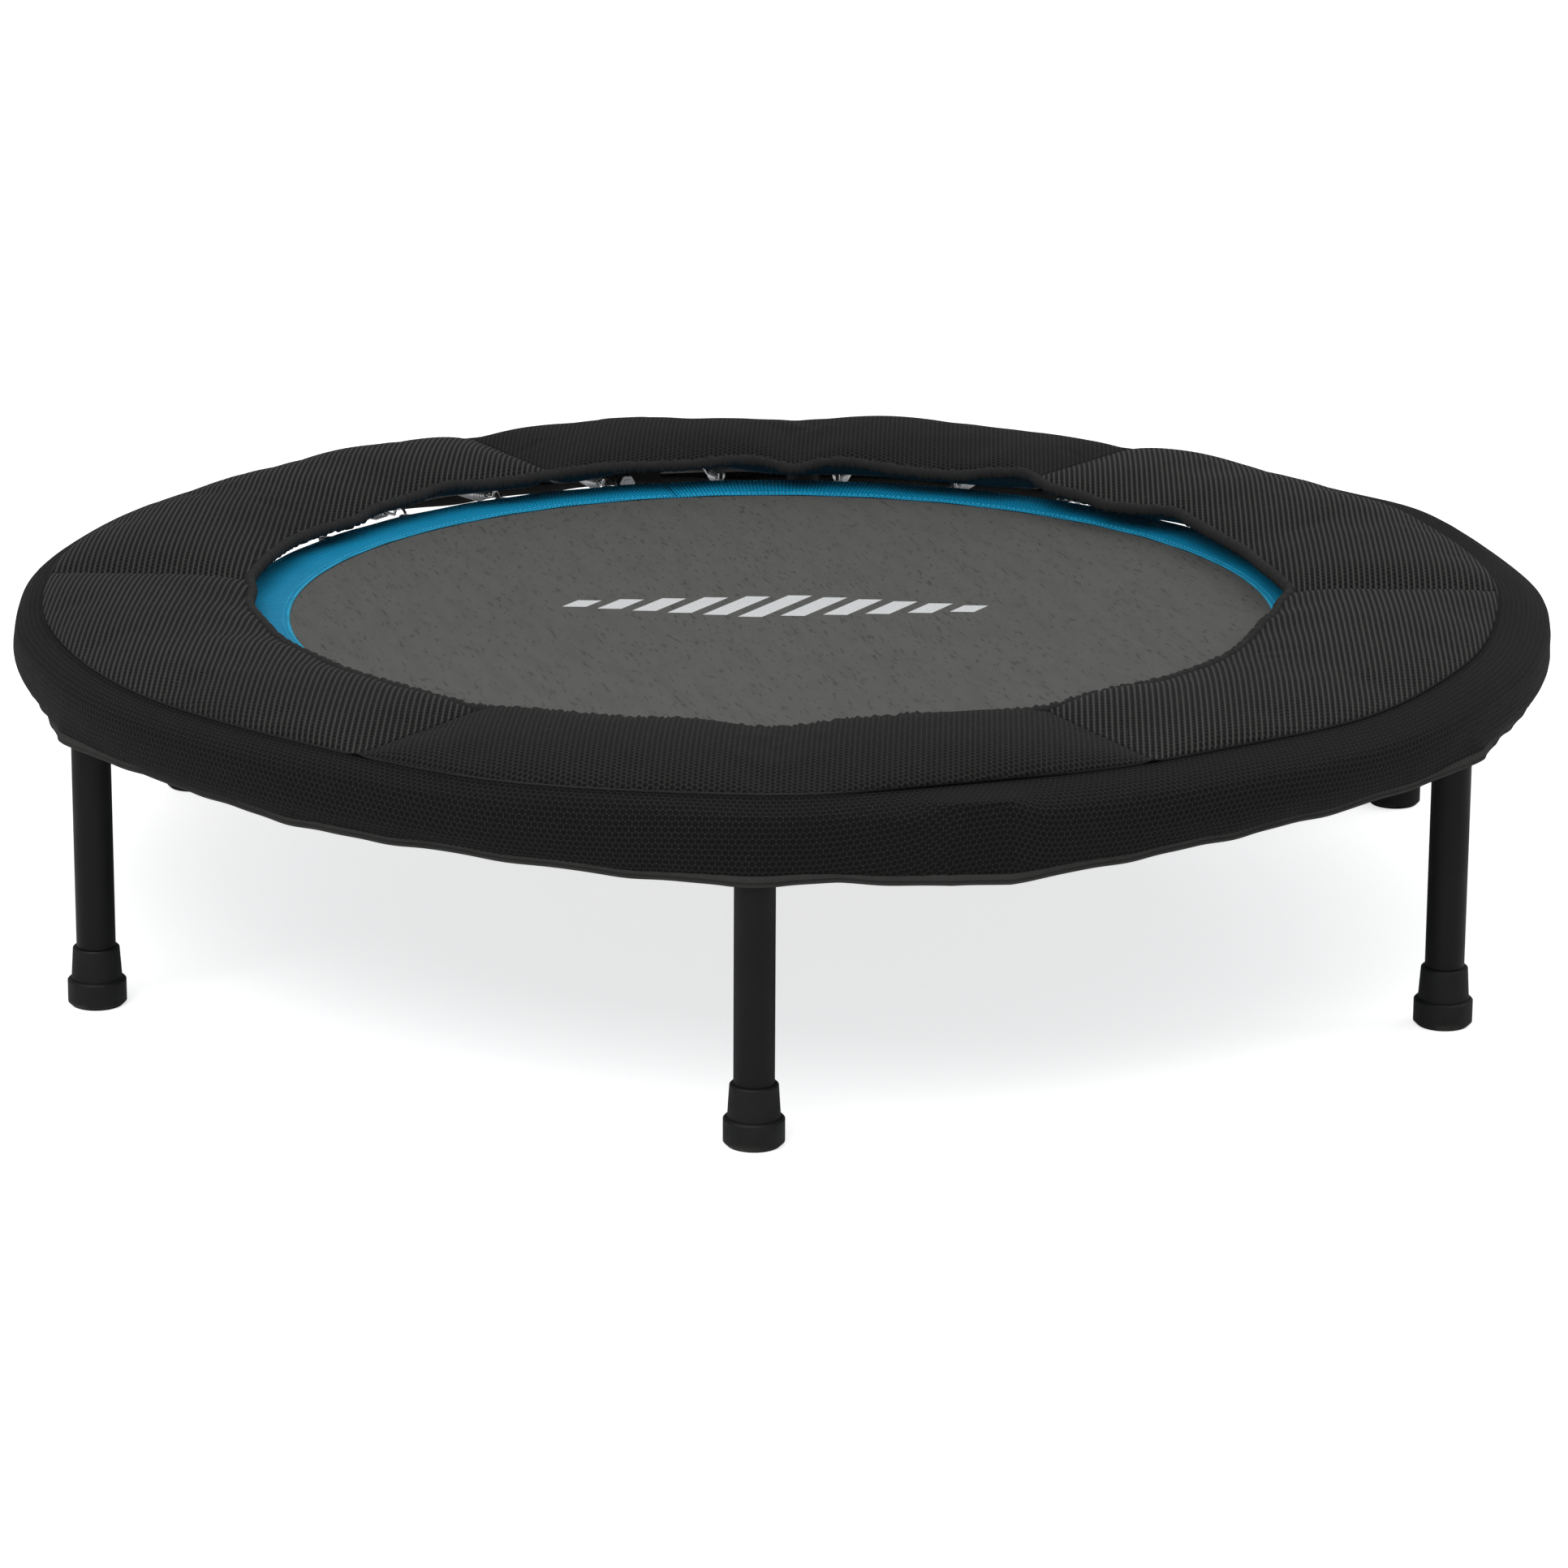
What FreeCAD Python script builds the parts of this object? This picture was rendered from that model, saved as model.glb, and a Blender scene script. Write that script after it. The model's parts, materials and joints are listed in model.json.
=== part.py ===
"""Folding mini trampoline, about 1.02 m across and 0.23 m high.

A 25 mm steel tube ring is hinged across its middle and stands on six screw-in legs. A woven mat hangs
in the ring on coil springs, and a padded mesh cover lies over the springs with a skirt outside the ring.

Millimetres, +Z up. The origin is on the floor under the middle of the mat. Azimuth is measured from +X
towards +Y. Half A of the frame runs from the front hinge at 285 degrees through 0 to the rear hinge at
105 degrees, and half B is the rest of the ring."""

import FreeCAD, Part
import math
import os

from FreeCAD import Vector

# ring frame
RING_RADIUS = 495.0
TUBE_RADIUS = 12.5
TUBE_WALL = 1.5
RING_Z = 190.0

# fold hinges, on one horizontal line across the ring
FOLD_AZIMUTH = 285.0
PIVOT_Z = 201.5
TUBE_END_GAP = 20.0          # from the fold line to each tube end
PIVOT_BOLT_RADIUS = 4.0
STOP_BOLT_RADIUS = 3.0
STOP_BOLT_Z = 176.0
STOP_BOLT_OFFSET = 6.0       # towards half B
RUNNING_CLEARANCE = 0.08
PLATE_THICKNESS = 3.0
PLATE_INSIDE = 12.6          # from the ring's centreline to a fork plate
PLATE_PIVOT_END = 9.5        # radius of a fork plate's round end at the pivot bolt
PLATE_STOP_END = 7.5         # and at the stop bolt
FORK_BLOCK_START = 12.0      # from the fold line to the fork's block
TONGUE_HALF_WIDTH = 12.2
EYE_RADIUS = 8.5
STOP_GAP = 0.3               # left between the knuckle's arm and the stop bolt
BORE_LENGTH = 60.0           # longer than a hinge is wide
PIVOT_BOLT_END = 24.5        # from the ring's centreline to a bolt's inner end
STOP_BOLT_END = 21.5
WASHER_RADIUS = 8.5
WASHER_THICKNESS = 1.6

# legs
LEGS_A = (330.0, 30.0, 90.0)
LEGS_B = (150.0, 210.0, 270.0)
SOCKET_BOTTOM = 172.0
LEG_TOP = 171.5
STUD_RADIUS = 5.0
STUD_TOP = 187.0
FOOT_RADIUS = 18.75
FOOT_HEIGHT = 38.5
FOOT_SOLE = 5.0

# mat, band, V-rings and springs
MAT_RADIUS = 356.0
MAT_TOP = 199.3
MAT_THICKNESS = 1.6
BAND_INNER = 328.0
BAND_OUTER = 370.0
BAND_THICKNESS = 1.4
RING_WIRE = 1.4              # radius of a V-ring's wire
V_BASE_RADIUS = 362.0
V_TIP_RADIUS = 380.0
V_HALF_WIDTH = 15.0
V_RING_Z = MAT_TOP - 1.5
SPRINGS = 28
SPRING_RADIUS = 6.5
SPRING_WIRE = 1.1
HOOK_RADIUS = 6.0
COIL_START = 396.0
COIL_END = 470.0
COIL_TAPER = 8.0
HOLE_RADIUS = 3.0
HOLE_Z = 192.5
HOOK_END_RADIUS = RING_RADIUS - 9.0
MAT_SPLIT = 0.3              # half the gap where the mat is divided at the fold line

# padded cover
PANEL_ARC = 60.0
PAD_INNER = 340.0
PAD_OUTER = 490.0
PAD_BOTTOM = 208.0
PAD_EDGE_Z = 216.0
PAD_CROWN = 229.5
SEAM_GAP = 0.06              # half the gap between two panels, in degrees
FOLD_PAD_BOTTOM = 213.6      # the pad is thinner over a hinge
FOLD_PAD_REACH = 15.0        # degrees each side of the fold line
FOLD_GAP = 0.25              # degrees left free at the fold line
SKIRT_RADIUS = 510.3
SKIRT_THICKNESS = 2.0
SKIRT_BOTTOM = 168.0
SKIRT_SEAM_RADIUS = 493.0
SKIRT_SEAM_Z = 219.0
FOLD_SKIRT_REACH = 8.0
FOLD_SKIRT_RADIUS = 519.5
FOLD_SKIRT_TOP = 212.0
HEM_THICKNESS = 1.2
HEM_HEIGHT = 8.0
BINDING_WIDTH = 4.0

ORIGIN = Vector(0, 0, 0)
UP = Vector(0, 0, 1)
OUT = Vector(1, 0, 0)
REAR_HINGE = FOLD_AZIMUTH - 180.0
TUBE_END_ANGLE = math.degrees(math.asin(TUBE_END_GAP / (RING_RADIUS - TUBE_RADIUS)))


def polar(radius, azimuth, z):
    """The point at a radius, azimuth and height."""
    a = math.radians(azimuth)
    return Vector(radius * math.cos(a), radius * math.sin(a), z)


def outward(solid):
    """The solid with its faces pointing outwards."""
    if solid.Volume < 0:
        solid.reverse()
    return solid


def turned(shape, azimuth):
    """A copy of a shape turned about the object's upright axis."""
    copy = shape.copy()
    copy.rotate(ORIGIN, UP, azimuth)
    return copy


def section(points):
    """A flat face in the XZ plane with straight sides, from (radius, height) pairs."""
    corners = [Vector(r, 0, z) for r, z in points]
    return Part.Face(Part.makePolygon(corners + corners[:1]))


def swept(face, start, end):
    """The solid that a face in the XZ plane sweeps from one azimuth to another."""
    return outward(turned(face.revolve(ORIGIN, UP, end - start), start))


def tube_face(radius):
    """A disc across the ring's tube."""
    circle = Part.makeCircle(radius, Vector(RING_RADIUS, 0, RING_Z), Vector(0, 1, 0))
    return Part.Face(Part.Wire(circle))


def rod(start, end, radius):
    """A round bar between two points."""
    return Part.makeCylinder(radius, (end - start).Length, start, end - start)


def merged(solids):
    """Several overlapping solids as one."""
    first, rest = solids[0], solids[1:]
    return first.multiFuse(rest).removeSplitter() if rest else first


def group(solids):
    """Separate solids kept together as one node."""
    return Part.makeCompound(solids)


def save(name, shape):
    """Writes one node, and stops if a solid of it is not sound."""
    for solid in shape.Solids:
        if not solid.isValid() or solid.Volume <= 0:
            raise ValueError("unsound solid in " + name)
    shape.exportStep("parts/" + name + ".step")


def half_limits(half, margin):
    """The first and last azimuth of a half ring that keeps a margin, in degrees, from the fold line."""
    start = FOLD_AZIMUTH - 360.0 if half == "a" else REAR_HINGE
    return start + margin, start + 180.0 - margin


def spring_azimuths(half):
    """The azimuths of one half's springs: half the ring's springs, clear of the fold line."""
    step = 360.0 / SPRINGS
    start = half_limits(half, 0.0)[0]
    return [start + (k + 0.5) * step for k in range(SPRINGS // 2)]


# ---------------------------------------------------------------- ring frame


def frame_rail(half, legs):
    """Half of the ring: bent tube with holes for the spring hooks and the leg studs."""
    start, end = half_limits(half, TUBE_END_ANGLE)
    tube = swept(tube_face(TUBE_RADIUS), start, end)
    tube = tube.cut(swept(tube_face(TUBE_RADIUS - TUBE_WALL), start - 1, end + 1))
    drills = []
    for azimuth in spring_azimuths(half):
        inside = polar(RING_RADIUS - TUBE_RADIUS - 5, azimuth, HOLE_Z)
        drills.append(rod(inside, polar(RING_RADIUS - 3, azimuth, HOLE_Z), HOLE_RADIUS))
    for azimuth in legs:
        below = polar(RING_RADIUS, azimuth, SOCKET_BOTTOM)
        drills.append(rod(below, polar(RING_RADIUS, azimuth, RING_Z), STUD_RADIUS + 1))
    return tube.cut(group(drills))


def leg_socket(azimuth):
    """A threaded boss welded under the ring, shaped to the tube above it."""
    bottom = Vector(RING_RADIUS, 0, SOCKET_BOTTOM)
    boss = Part.makeCylinder(TUBE_RADIUS, RING_Z - SOCKET_BOTTOM - 4, bottom)
    bore = Part.makeCylinder(STUD_RADIUS + RUNNING_CLEARANCE, 30, bottom - Vector(0, 0, 5))
    boss = turned(boss.cut(bore), azimuth)
    saddle = swept(tube_face(TUBE_RADIUS), azimuth - 4, azimuth + 4)
    return max(boss.cut(saddle).Solids, key=lambda s: s.Volume)


# ---------------------------------------------------------------- fold hinges
# A hinge is built with X outwards from the ring's axis, Y towards half A and Z up, its middle at the ring.


def bolt_bore(radius, y, z):
    """The running hole for a bolt, right through a hinge."""
    return Part.makeCylinder(radius + RUNNING_CLEARANCE, BORE_LENGTH, Vector(-BORE_LENGTH / 2, y, z), OUT)


def hinge_plate(x):
    """One side of the fork: round ends at the two bolts, and a foot that meets the fork's block."""
    stop = Vector(x, -STOP_BOLT_OFFSET, STOP_BOLT_Z)
    pivot_end = Part.makeCylinder(PLATE_PIVOT_END, PLATE_THICKNESS, Vector(x, 0, PIVOT_Z), OUT)
    stop_end = Part.makeCylinder(PLATE_STOP_END, PLATE_THICKNESS, stop, OUT)
    corners = [stop - Vector(0, PLATE_STOP_END, 0), Vector(x, TUBE_END_GAP, STOP_BOLT_Z - 1),
               Vector(x, TUBE_END_GAP, PIVOT_Z + 2), Vector(x, 0, PIVOT_Z + PLATE_PIVOT_END),
               Vector(x, -PLATE_PIVOT_END, PIVOT_Z)]
    web = Part.Face(Part.makePolygon(corners + corners[:1])).extrude(OUT * PLATE_THICKNESS)
    return merged([web, pivot_end, stop_end])


def hinge_fork():
    """The forked bracket on half A, with holes for the pivot and stop bolts."""
    width = 2 * (PLATE_INSIDE + PLATE_THICKNESS)
    block = Part.makeBox(width, TUBE_END_GAP - FORK_BLOCK_START, 2 * TUBE_RADIUS + 2,
                         Vector(-width / 2, FORK_BLOCK_START, RING_Z - TUBE_RADIUS - 1))
    fork = merged([block, hinge_plate(PLATE_INSIDE), hinge_plate(-PLATE_INSIDE - PLATE_THICKNESS)])
    return fork.cut(group([bolt_bore(PIVOT_BOLT_RADIUS, 0, PIVOT_Z),
                           bolt_bore(STOP_BOLT_RADIUS, -STOP_BOLT_OFFSET, STOP_BOLT_Z)]))


def hinge_tongue():
    """The knuckle on half B: an eye on the pivot bolt and an arm that rests just above the stop bolt."""
    width = 2 * TONGUE_HALF_WIDTH
    eye = Part.makeCylinder(EYE_RADIUS, width, Vector(-TONGUE_HALF_WIDTH, 0, PIVOT_Z), OUT)
    bottom = STOP_BOLT_Z + STOP_BOLT_RADIUS + STOP_GAP
    arm = Part.makeBox(width, TUBE_END_GAP, RING_Z + TUBE_RADIUS - bottom,
                       Vector(-TONGUE_HALF_WIDTH, -TUBE_END_GAP, bottom))
    return merged([eye, arm]).cut(bolt_bore(PIVOT_BOLT_RADIUS, 0, PIVOT_Z))


def pivot_bolt():
    """Bolt with a wide round flange and a domed head on the outside of the ring."""
    face_x = PLATE_INSIDE + PLATE_THICKNESS
    flange_radius, flange_thickness = 11.5, 1.8
    head_base, head_top, head_height = 7.0, 5.5, 3.2
    inner_end = Vector(-PIVOT_BOLT_END, 0, PIVOT_Z)
    shank = Part.makeCylinder(PIVOT_BOLT_RADIUS, face_x + PIVOT_BOLT_END, inner_end, OUT)
    flange = Part.makeCylinder(flange_radius, flange_thickness, Vector(face_x, 0, PIVOT_Z), OUT)
    head_place = Vector(face_x + flange_thickness, 0, PIVOT_Z)
    head = Part.makeCone(head_base, head_top, head_height, head_place, OUT)
    return merged([shank, flange, head])


def stop_bolt():
    """Small bolt that the knuckle's arm comes to rest on."""
    face_x = PLATE_INSIDE + PLATE_THICKNESS
    head_base, head_top, head_height = 5.0, 4.2, 3.0
    inner_end = Vector(-STOP_BOLT_END, -STOP_BOLT_OFFSET, STOP_BOLT_Z)
    shank = Part.makeCylinder(STOP_BOLT_RADIUS, face_x + STOP_BOLT_END, inner_end, OUT)
    head_place = Vector(face_x, -STOP_BOLT_OFFSET, STOP_BOLT_Z)
    return merged([shank, Part.makeCone(head_base, head_top, head_height, head_place, OUT)])


def washer():
    """Plain washer under the pivot nut."""
    place = Vector(-PLATE_INSIDE - PLATE_THICKNESS - WASHER_THICKNESS, 0, PIVOT_Z)
    outer = Part.makeCylinder(WASHER_RADIUS, WASHER_THICKNESS, place, OUT)
    return outer.cut(Part.makeCylinder(PIVOT_BOLT_RADIUS + 0.2, WASHER_THICKNESS, place, OUT))


def hex_nut(across_flats, thickness, bore, place):
    """Hexagon nut whose axis lies along X."""
    corner = across_flats / math.sqrt(3)
    turns = [math.radians(60 * k) for k in range(6)]
    points = [place + Vector(0, corner * math.cos(turn), corner * math.sin(turn)) for turn in turns]
    body = Part.Face(Part.makePolygon(points + points[:1])).extrude(OUT * thickness)
    return outward(body.cut(Part.makeCylinder(bore, thickness, place, OUT)))


def pivot_nut():
    """Lock nut on the pivot bolt's inner end."""
    thickness = 6.5
    place = Vector(-PLATE_INSIDE - PLATE_THICKNESS - WASHER_THICKNESS - thickness, 0, PIVOT_Z)
    return hex_nut(13.0, thickness, PIVOT_BOLT_RADIUS + 0.02, place)


def stop_nut():
    """Nut on the stop bolt's inner end."""
    thickness = 5.0
    place = Vector(-PLATE_INSIDE - PLATE_THICKNESS - thickness, -STOP_BOLT_OFFSET, STOP_BOLT_Z)
    return hex_nut(10.0, thickness, STOP_BOLT_RADIUS + 0.02, place)


def at_hinge(shape, azimuth):
    """A hinge piece moved to the front or the rear hinge, with half A on its +Y side at both."""
    piece = shape.copy()
    if azimuth == REAR_HINGE:
        piece = piece.mirror(ORIGIN, Vector(0, 1, 0))
    piece.translate(Vector(RING_RADIUS, 0, 0))
    return outward(turned(piece, azimuth))


def spigot(azimuth, towards):
    """The round end of a hinge bracket that is pressed into the ring's tube, curved like the tube."""
    ends = (azimuth + towards * TUBE_END_ANGLE * 0.99, azimuth + towards * (TUBE_END_ANGLE + 2.5))
    start, end = sorted(ends)
    return swept(tube_face(TUBE_RADIUS - TUBE_WALL - 0.02), start, end)


def hinges():
    """All the nodes of the front and rear hinge."""
    for name, azimuth, side_a in (("front", FOLD_AZIMUTH, 1), ("rear", REAR_HINGE, -1)):
        fork = merged([at_hinge(hinge_fork(), azimuth), spigot(azimuth, side_a)])
        tongue = merged([at_hinge(hinge_tongue(), azimuth), spigot(azimuth, -side_a)])
        save("hinge_fork_" + name, fork)
        save("hinge_knuckle_" + name, tongue)
    small = {"hinge_pivot_bolts": pivot_bolt, "hinge_washers": washer, "hinge_nuts": pivot_nut,
             "hinge_stop_bolts": stop_bolt, "hinge_stop_nuts": stop_nut}
    for node, make in small.items():
        save(node, group([at_hinge(make(), azimuth) for azimuth in (FOLD_AZIMUTH, REAR_HINGE)]))


# ---------------------------------------------------------------- legs


def leg_tube():
    """Straight leg tube, standing in its foot and open at the top for the stud plug."""
    bottom = Vector(RING_RADIUS, 0, FOOT_SOLE)
    outer = Part.makeCylinder(TUBE_RADIUS, LEG_TOP - FOOT_SOLE, bottom)
    return outer.cut(Part.makeCylinder(TUBE_RADIUS - TUBE_WALL, LEG_TOP - FOOT_SOLE, bottom))


def leg_stud():
    """Plug pressed into the leg's top, with a threaded stud that screws up into the ring's socket."""
    plug = Part.makeCylinder(TUBE_RADIUS - TUBE_WALL - 0.02, 18, Vector(RING_RADIUS, 0, LEG_TOP - 18))
    stud = Part.makeCylinder(STUD_RADIUS, STUD_TOP - LEG_TOP, Vector(RING_RADIUS, 0, LEG_TOP))
    return merged([plug, stud])


def foot():
    """Rubber foot: a wide rim at the floor, a step, and a tapering sleeve up the leg."""
    rim_height = 17.6
    bore = TUBE_RADIUS + 0.05
    outline = [(0, 0), (FOOT_RADIUS - 2.5, 0), (FOOT_RADIUS, 2.5), (FOOT_RADIUS, rim_height - 1.2),
               (FOOT_RADIUS - 1.2, rim_height), (16.2, rim_height), (14.9, FOOT_HEIGHT - 0.8),
               (14.2, FOOT_HEIGHT), (bore, FOOT_HEIGHT), (bore, FOOT_SOLE), (0, FOOT_SOLE)]
    cap = outward(section(outline).revolve(ORIGIN, UP, 360))
    cap.translate(Vector(RING_RADIUS, 0, 0))
    return cap


def legs():
    """Six legs, numbered anticlockwise from the front one."""
    for number in range(1, 7):
        azimuth = 270.0 + 60.0 * (number - 1)
        save("leg_tube_%d" % number, turned(leg_tube(), azimuth))
        save("leg_stud_%d" % number, turned(leg_stud(), azimuth))
        save("foot_%d" % number, turned(foot(), azimuth))


# ---------------------------------------------------------------- mat and springs


def half_cut(solid, half):
    """What lies on one half's side of the fold line, a little clear of it."""
    reach = 2 * RING_RADIUS
    keep = Part.makeBox(2 * reach, reach, reach, Vector(-reach, MAT_SPLIT, 0))
    turn = FOLD_AZIMUTH if half == "a" else REAR_HINGE
    return solid.common(turned(keep, turn))


def mat(half):
    """Half of the woven jumping mat."""
    disc = Part.makeCylinder(MAT_RADIUS, MAT_THICKNESS, Vector(0, 0, MAT_TOP - MAT_THICKNESS))
    return half_cut(disc, half)


def mat_band(half):
    """Webbing in two layers, one over and one under the mat's edge, which hold the V-rings between them."""
    inset = MAT_TOP - MAT_THICKNESS
    step = inset - BAND_THICKNESS
    upper = section([(BAND_INNER, MAT_TOP), (BAND_OUTER, MAT_TOP), (BAND_OUTER, MAT_TOP + BAND_THICKNESS),
                     (BAND_INNER, MAT_TOP + BAND_THICKNESS)])
    lower = section([(BAND_INNER, step), (MAT_RADIUS, step), (MAT_RADIUS, step - BAND_THICKNESS),
                     (BAND_OUTER, step - BAND_THICKNESS), (BAND_OUTER, step), (MAT_RADIUS + 1.5, step),
                     (MAT_RADIUS + 1.5, inset), (BAND_INNER, inset)])
    return group([half_cut(outward(face.revolve(ORIGIN, UP, 360)), half) for face in (upper, lower)])


def bent_wire(points, radius, bend):
    """Round wire along straight runs, with an arc of one bend radius at each corner."""
    edges, last = [], points[0]
    for before, corner, after in zip(points, points[1:], points[2:]):
        back, ahead = (before - corner).normalize(), (after - corner).normalize()
        half_turn = (math.pi - back.getAngle(ahead)) / 2
        reach = bend * math.tan(half_turn)
        middle = corner + (back + ahead).normalize() * (bend / math.cos(half_turn) - bend)
        edges.append(Part.makeLine(last, corner + back * reach))
        last = corner + ahead * reach
        edges.append(Part.Arc(corner + back * reach, middle, last).toShape())
    edges.append(Part.makeLine(last, points[-1]))
    profile = Part.Wire(Part.makeCircle(radius, points[0], points[1] - points[0]))
    return outward(Part.Solid(Part.Wire(edges).makePipeShell([profile], True, False)))


def v_ring():
    """Triangular wire ring, its ends meeting in the band and its tip pointing at the spring."""
    left, right = [Vector(V_BASE_RADIUS, side * V_HALF_WIDTH, V_RING_Z) for side in (-1, 1)]
    tip = Vector(V_TIP_RADIUS, 0, V_RING_Z)
    gap = Vector(0, 0.3, 0)
    middle = Vector(V_BASE_RADIUS, 0, V_RING_Z)
    return bent_wire([middle - gap, left, tip, right, middle + gap], RING_WIRE, 3.0)


def coil_spring():
    """Tension spring as the outline of its coil, hooked over the V-ring and into the ring's tube."""
    tip = Vector(V_TIP_RADIUS, 0, V_RING_Z)
    mat_end = tip + Vector(HOOK_RADIUS, 0, 0)
    tube_end = Vector(HOOK_END_RADIUS, 0, HOLE_Z)
    along = tube_end - mat_end
    points = {r: mat_end + along * ((r - mat_end.x) / along.x)
              for r in (COIL_START, COIL_START + COIL_TAPER, COIL_END - COIL_TAPER, COIL_END)}
    start, full, taper, end = [points[r] for r in sorted(points)]
    small = 2 * SPRING_WIRE
    coil = [Part.makeCone(small, SPRING_RADIUS, (full - start).Length, start, along),
            rod(full, taper, SPRING_RADIUS),
            Part.makeCone(SPRING_RADIUS, small, (end - taper).Length, taper, along)]
    eye = Part.makeTorus(HOOK_RADIUS, SPRING_WIRE, tip, Vector(0, -1, 0), -180, 180, 205)
    joints = [Part.makeSphere(SPRING_WIRE, p) for p in (mat_end, tube_end)]
    wires = [rod(mat_end, start + along * 0.01, SPRING_WIRE), rod(end - along * 0.01, tube_end, SPRING_WIRE),
             rod(tube_end, tube_end + Vector(2, 0, -6), SPRING_WIRE)]
    return merged(coil + [eye] + joints + wires)


def mats_and_springs():
    """The mat, its band, the V-rings and the springs, each in two halves."""
    for half in ("a", "b"):
        save("mat_" + half, mat(half))
        save("mat_band_" + half, mat_band(half))
        azimuths = spring_azimuths(half)
        save("v_rings_" + half, group([turned(v_ring(), a) for a in azimuths]))
        save("springs_" + half, group([turned(coil_spring(), a) for a in azimuths]))


# ---------------------------------------------------------------- padded cover


def pad_section(bottom):
    """Cross-section of a padded panel: flat below, crowned above."""
    low_in, low_out = Vector(PAD_INNER, 0, bottom), Vector(PAD_OUTER, 0, bottom)
    edge_in = Vector(PAD_INNER, 0, PAD_EDGE_Z)
    edge_out = Vector(PAD_OUTER, 0, PAD_EDGE_Z)
    crown = Vector((PAD_INNER + PAD_OUTER) / 2, 0, PAD_CROWN)
    corners = [edge_in, low_in, low_out, edge_out]
    lines = [Part.LineSegment(a, b).toShape() for a, b in zip(corners, corners[1:])]
    return Part.Face(Part.Wire(lines + [Part.Arc(edge_out, crown, edge_in).toShape()]))


def padded_cover():
    """Foam panels and their covering, with separate thinner stretches over the two hinges."""
    whole = pad_section(PAD_BOTTOM)
    thin = pad_section(FOLD_PAD_BOTTOM)
    panels = {"pad_right_front": 300.0, "pad_right_rear": 0.0,
              "pad_left_rear": 120.0, "pad_left_front": 180.0}
    for name, start in panels.items():
        save(name, swept(whole, start + SEAM_GAP, start + PANEL_ARC - SEAM_GAP))
    for name, hinge in (("front", FOLD_AZIMUTH), ("rear", REAR_HINGE)):
        first = hinge - 45.0
        crossing = hinge - FOLD_PAD_REACH
        last = hinge + FOLD_PAD_REACH
        save("pad_" + name, swept(whole, first + SEAM_GAP, crossing - SEAM_GAP))
        save("pad_" + name + "_fold_before", swept(thin, crossing + SEAM_GAP, hinge - FOLD_GAP))
        save("pad_" + name + "_fold_after", swept(thin, hinge + FOLD_GAP, last - SEAM_GAP))


def skirt_section():
    """Cross-section of the mesh skirt: from the panels' outer seam over the ring's outside."""
    outside = [(SKIRT_SEAM_RADIUS, SKIRT_SEAM_Z), (SKIRT_RADIUS - 4, SKIRT_SEAM_Z - 8),
               (SKIRT_RADIUS, SKIRT_SEAM_Z - 17), (SKIRT_RADIUS, SKIRT_BOTTOM + HEM_HEIGHT)]
    inside = [(r - SKIRT_THICKNESS, z) for r, z in reversed(outside)]
    return section(outside + inside)


def hem_section():
    """Cross-section of the bound hem under the skirt."""
    outer = SKIRT_RADIUS + HEM_THICKNESS / 2
    inner = SKIRT_RADIUS - SKIRT_THICKNESS - HEM_THICKNESS / 4
    top = SKIRT_BOTTOM + HEM_HEIGHT
    return section([(inner, SKIRT_BOTTOM), (outer, SKIRT_BOTTOM), (outer, top), (inner, top)])


def fold_skirt(hinge, side):
    """One flat flank of the skirt where it is pushed out by a hinge."""
    start = polar(SKIRT_RADIUS - SKIRT_THICKNESS, hinge + side * FOLD_SKIRT_REACH, SKIRT_BOTTOM)
    end = polar(FOLD_SKIRT_RADIUS - SKIRT_THICKNESS, hinge + side * FOLD_GAP, SKIRT_BOTTOM)
    depth = polar(SKIRT_THICKNESS, hinge, 0)
    corners = [start, end, end + depth, start + depth, start]
    panel = Part.Face(Part.makePolygon(corners)).extrude(Vector(0, 0, FOLD_SKIRT_TOP - SKIRT_BOTTOM))
    return outward(panel)


def skirts():
    """The skirt, its hem and the binding along the panels' inner edge, each in two halves."""
    binding = section([(PAD_INNER - BINDING_WIDTH, PAD_BOTTOM + 3), (PAD_INNER - 0.1, PAD_BOTTOM + 3),
                       (PAD_INNER - 0.1, PAD_EDGE_Z + 1), (PAD_INNER - BINDING_WIDTH, PAD_EDGE_Z + 1)])
    for half, side in (("a", 1), ("b", -1)):
        start, end = half_limits(half, FOLD_SKIRT_REACH + FOLD_GAP)
        save("skirt_" + half, swept(skirt_section(), start, end))
        save("skirt_hem_" + half, swept(hem_section(), start, end))
        start, end = half_limits(half, FOLD_GAP)
        save("pad_binding_" + half, swept(binding, start, end))
        flanks = [fold_skirt(FOLD_AZIMUTH, side), fold_skirt(REAR_HINGE, -side)]
        save("skirt_fold_" + half, group(flanks))


def main():
    """Builds every node into parts/."""
    os.makedirs("parts", exist_ok=True)
    for half, azimuths in (("a", LEGS_A), ("b", LEGS_B)):
        save("frame_rail_" + half, frame_rail(half, azimuths))
        save("leg_sockets_" + half, group([leg_socket(azimuth) for azimuth in azimuths]))
    hinges()
    legs()
    mats_and_springs()
    padded_cover()
    skirts()


main()
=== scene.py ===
"""Folding mini trampoline: the looks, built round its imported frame.

The frame's own steel parts and feet keep their shapes and get painted, plated and rubber finishes. The
padded panels, skirt, bindings, mat, webbing and coil springs are built here over the plain solids that stand
for them.
Metres, +Z up, azimuth in degrees from +X towards +Y."""

import json
import math

import bmesh
import bpy
import numpy as np
from mathutils import Matrix, Vector


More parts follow.
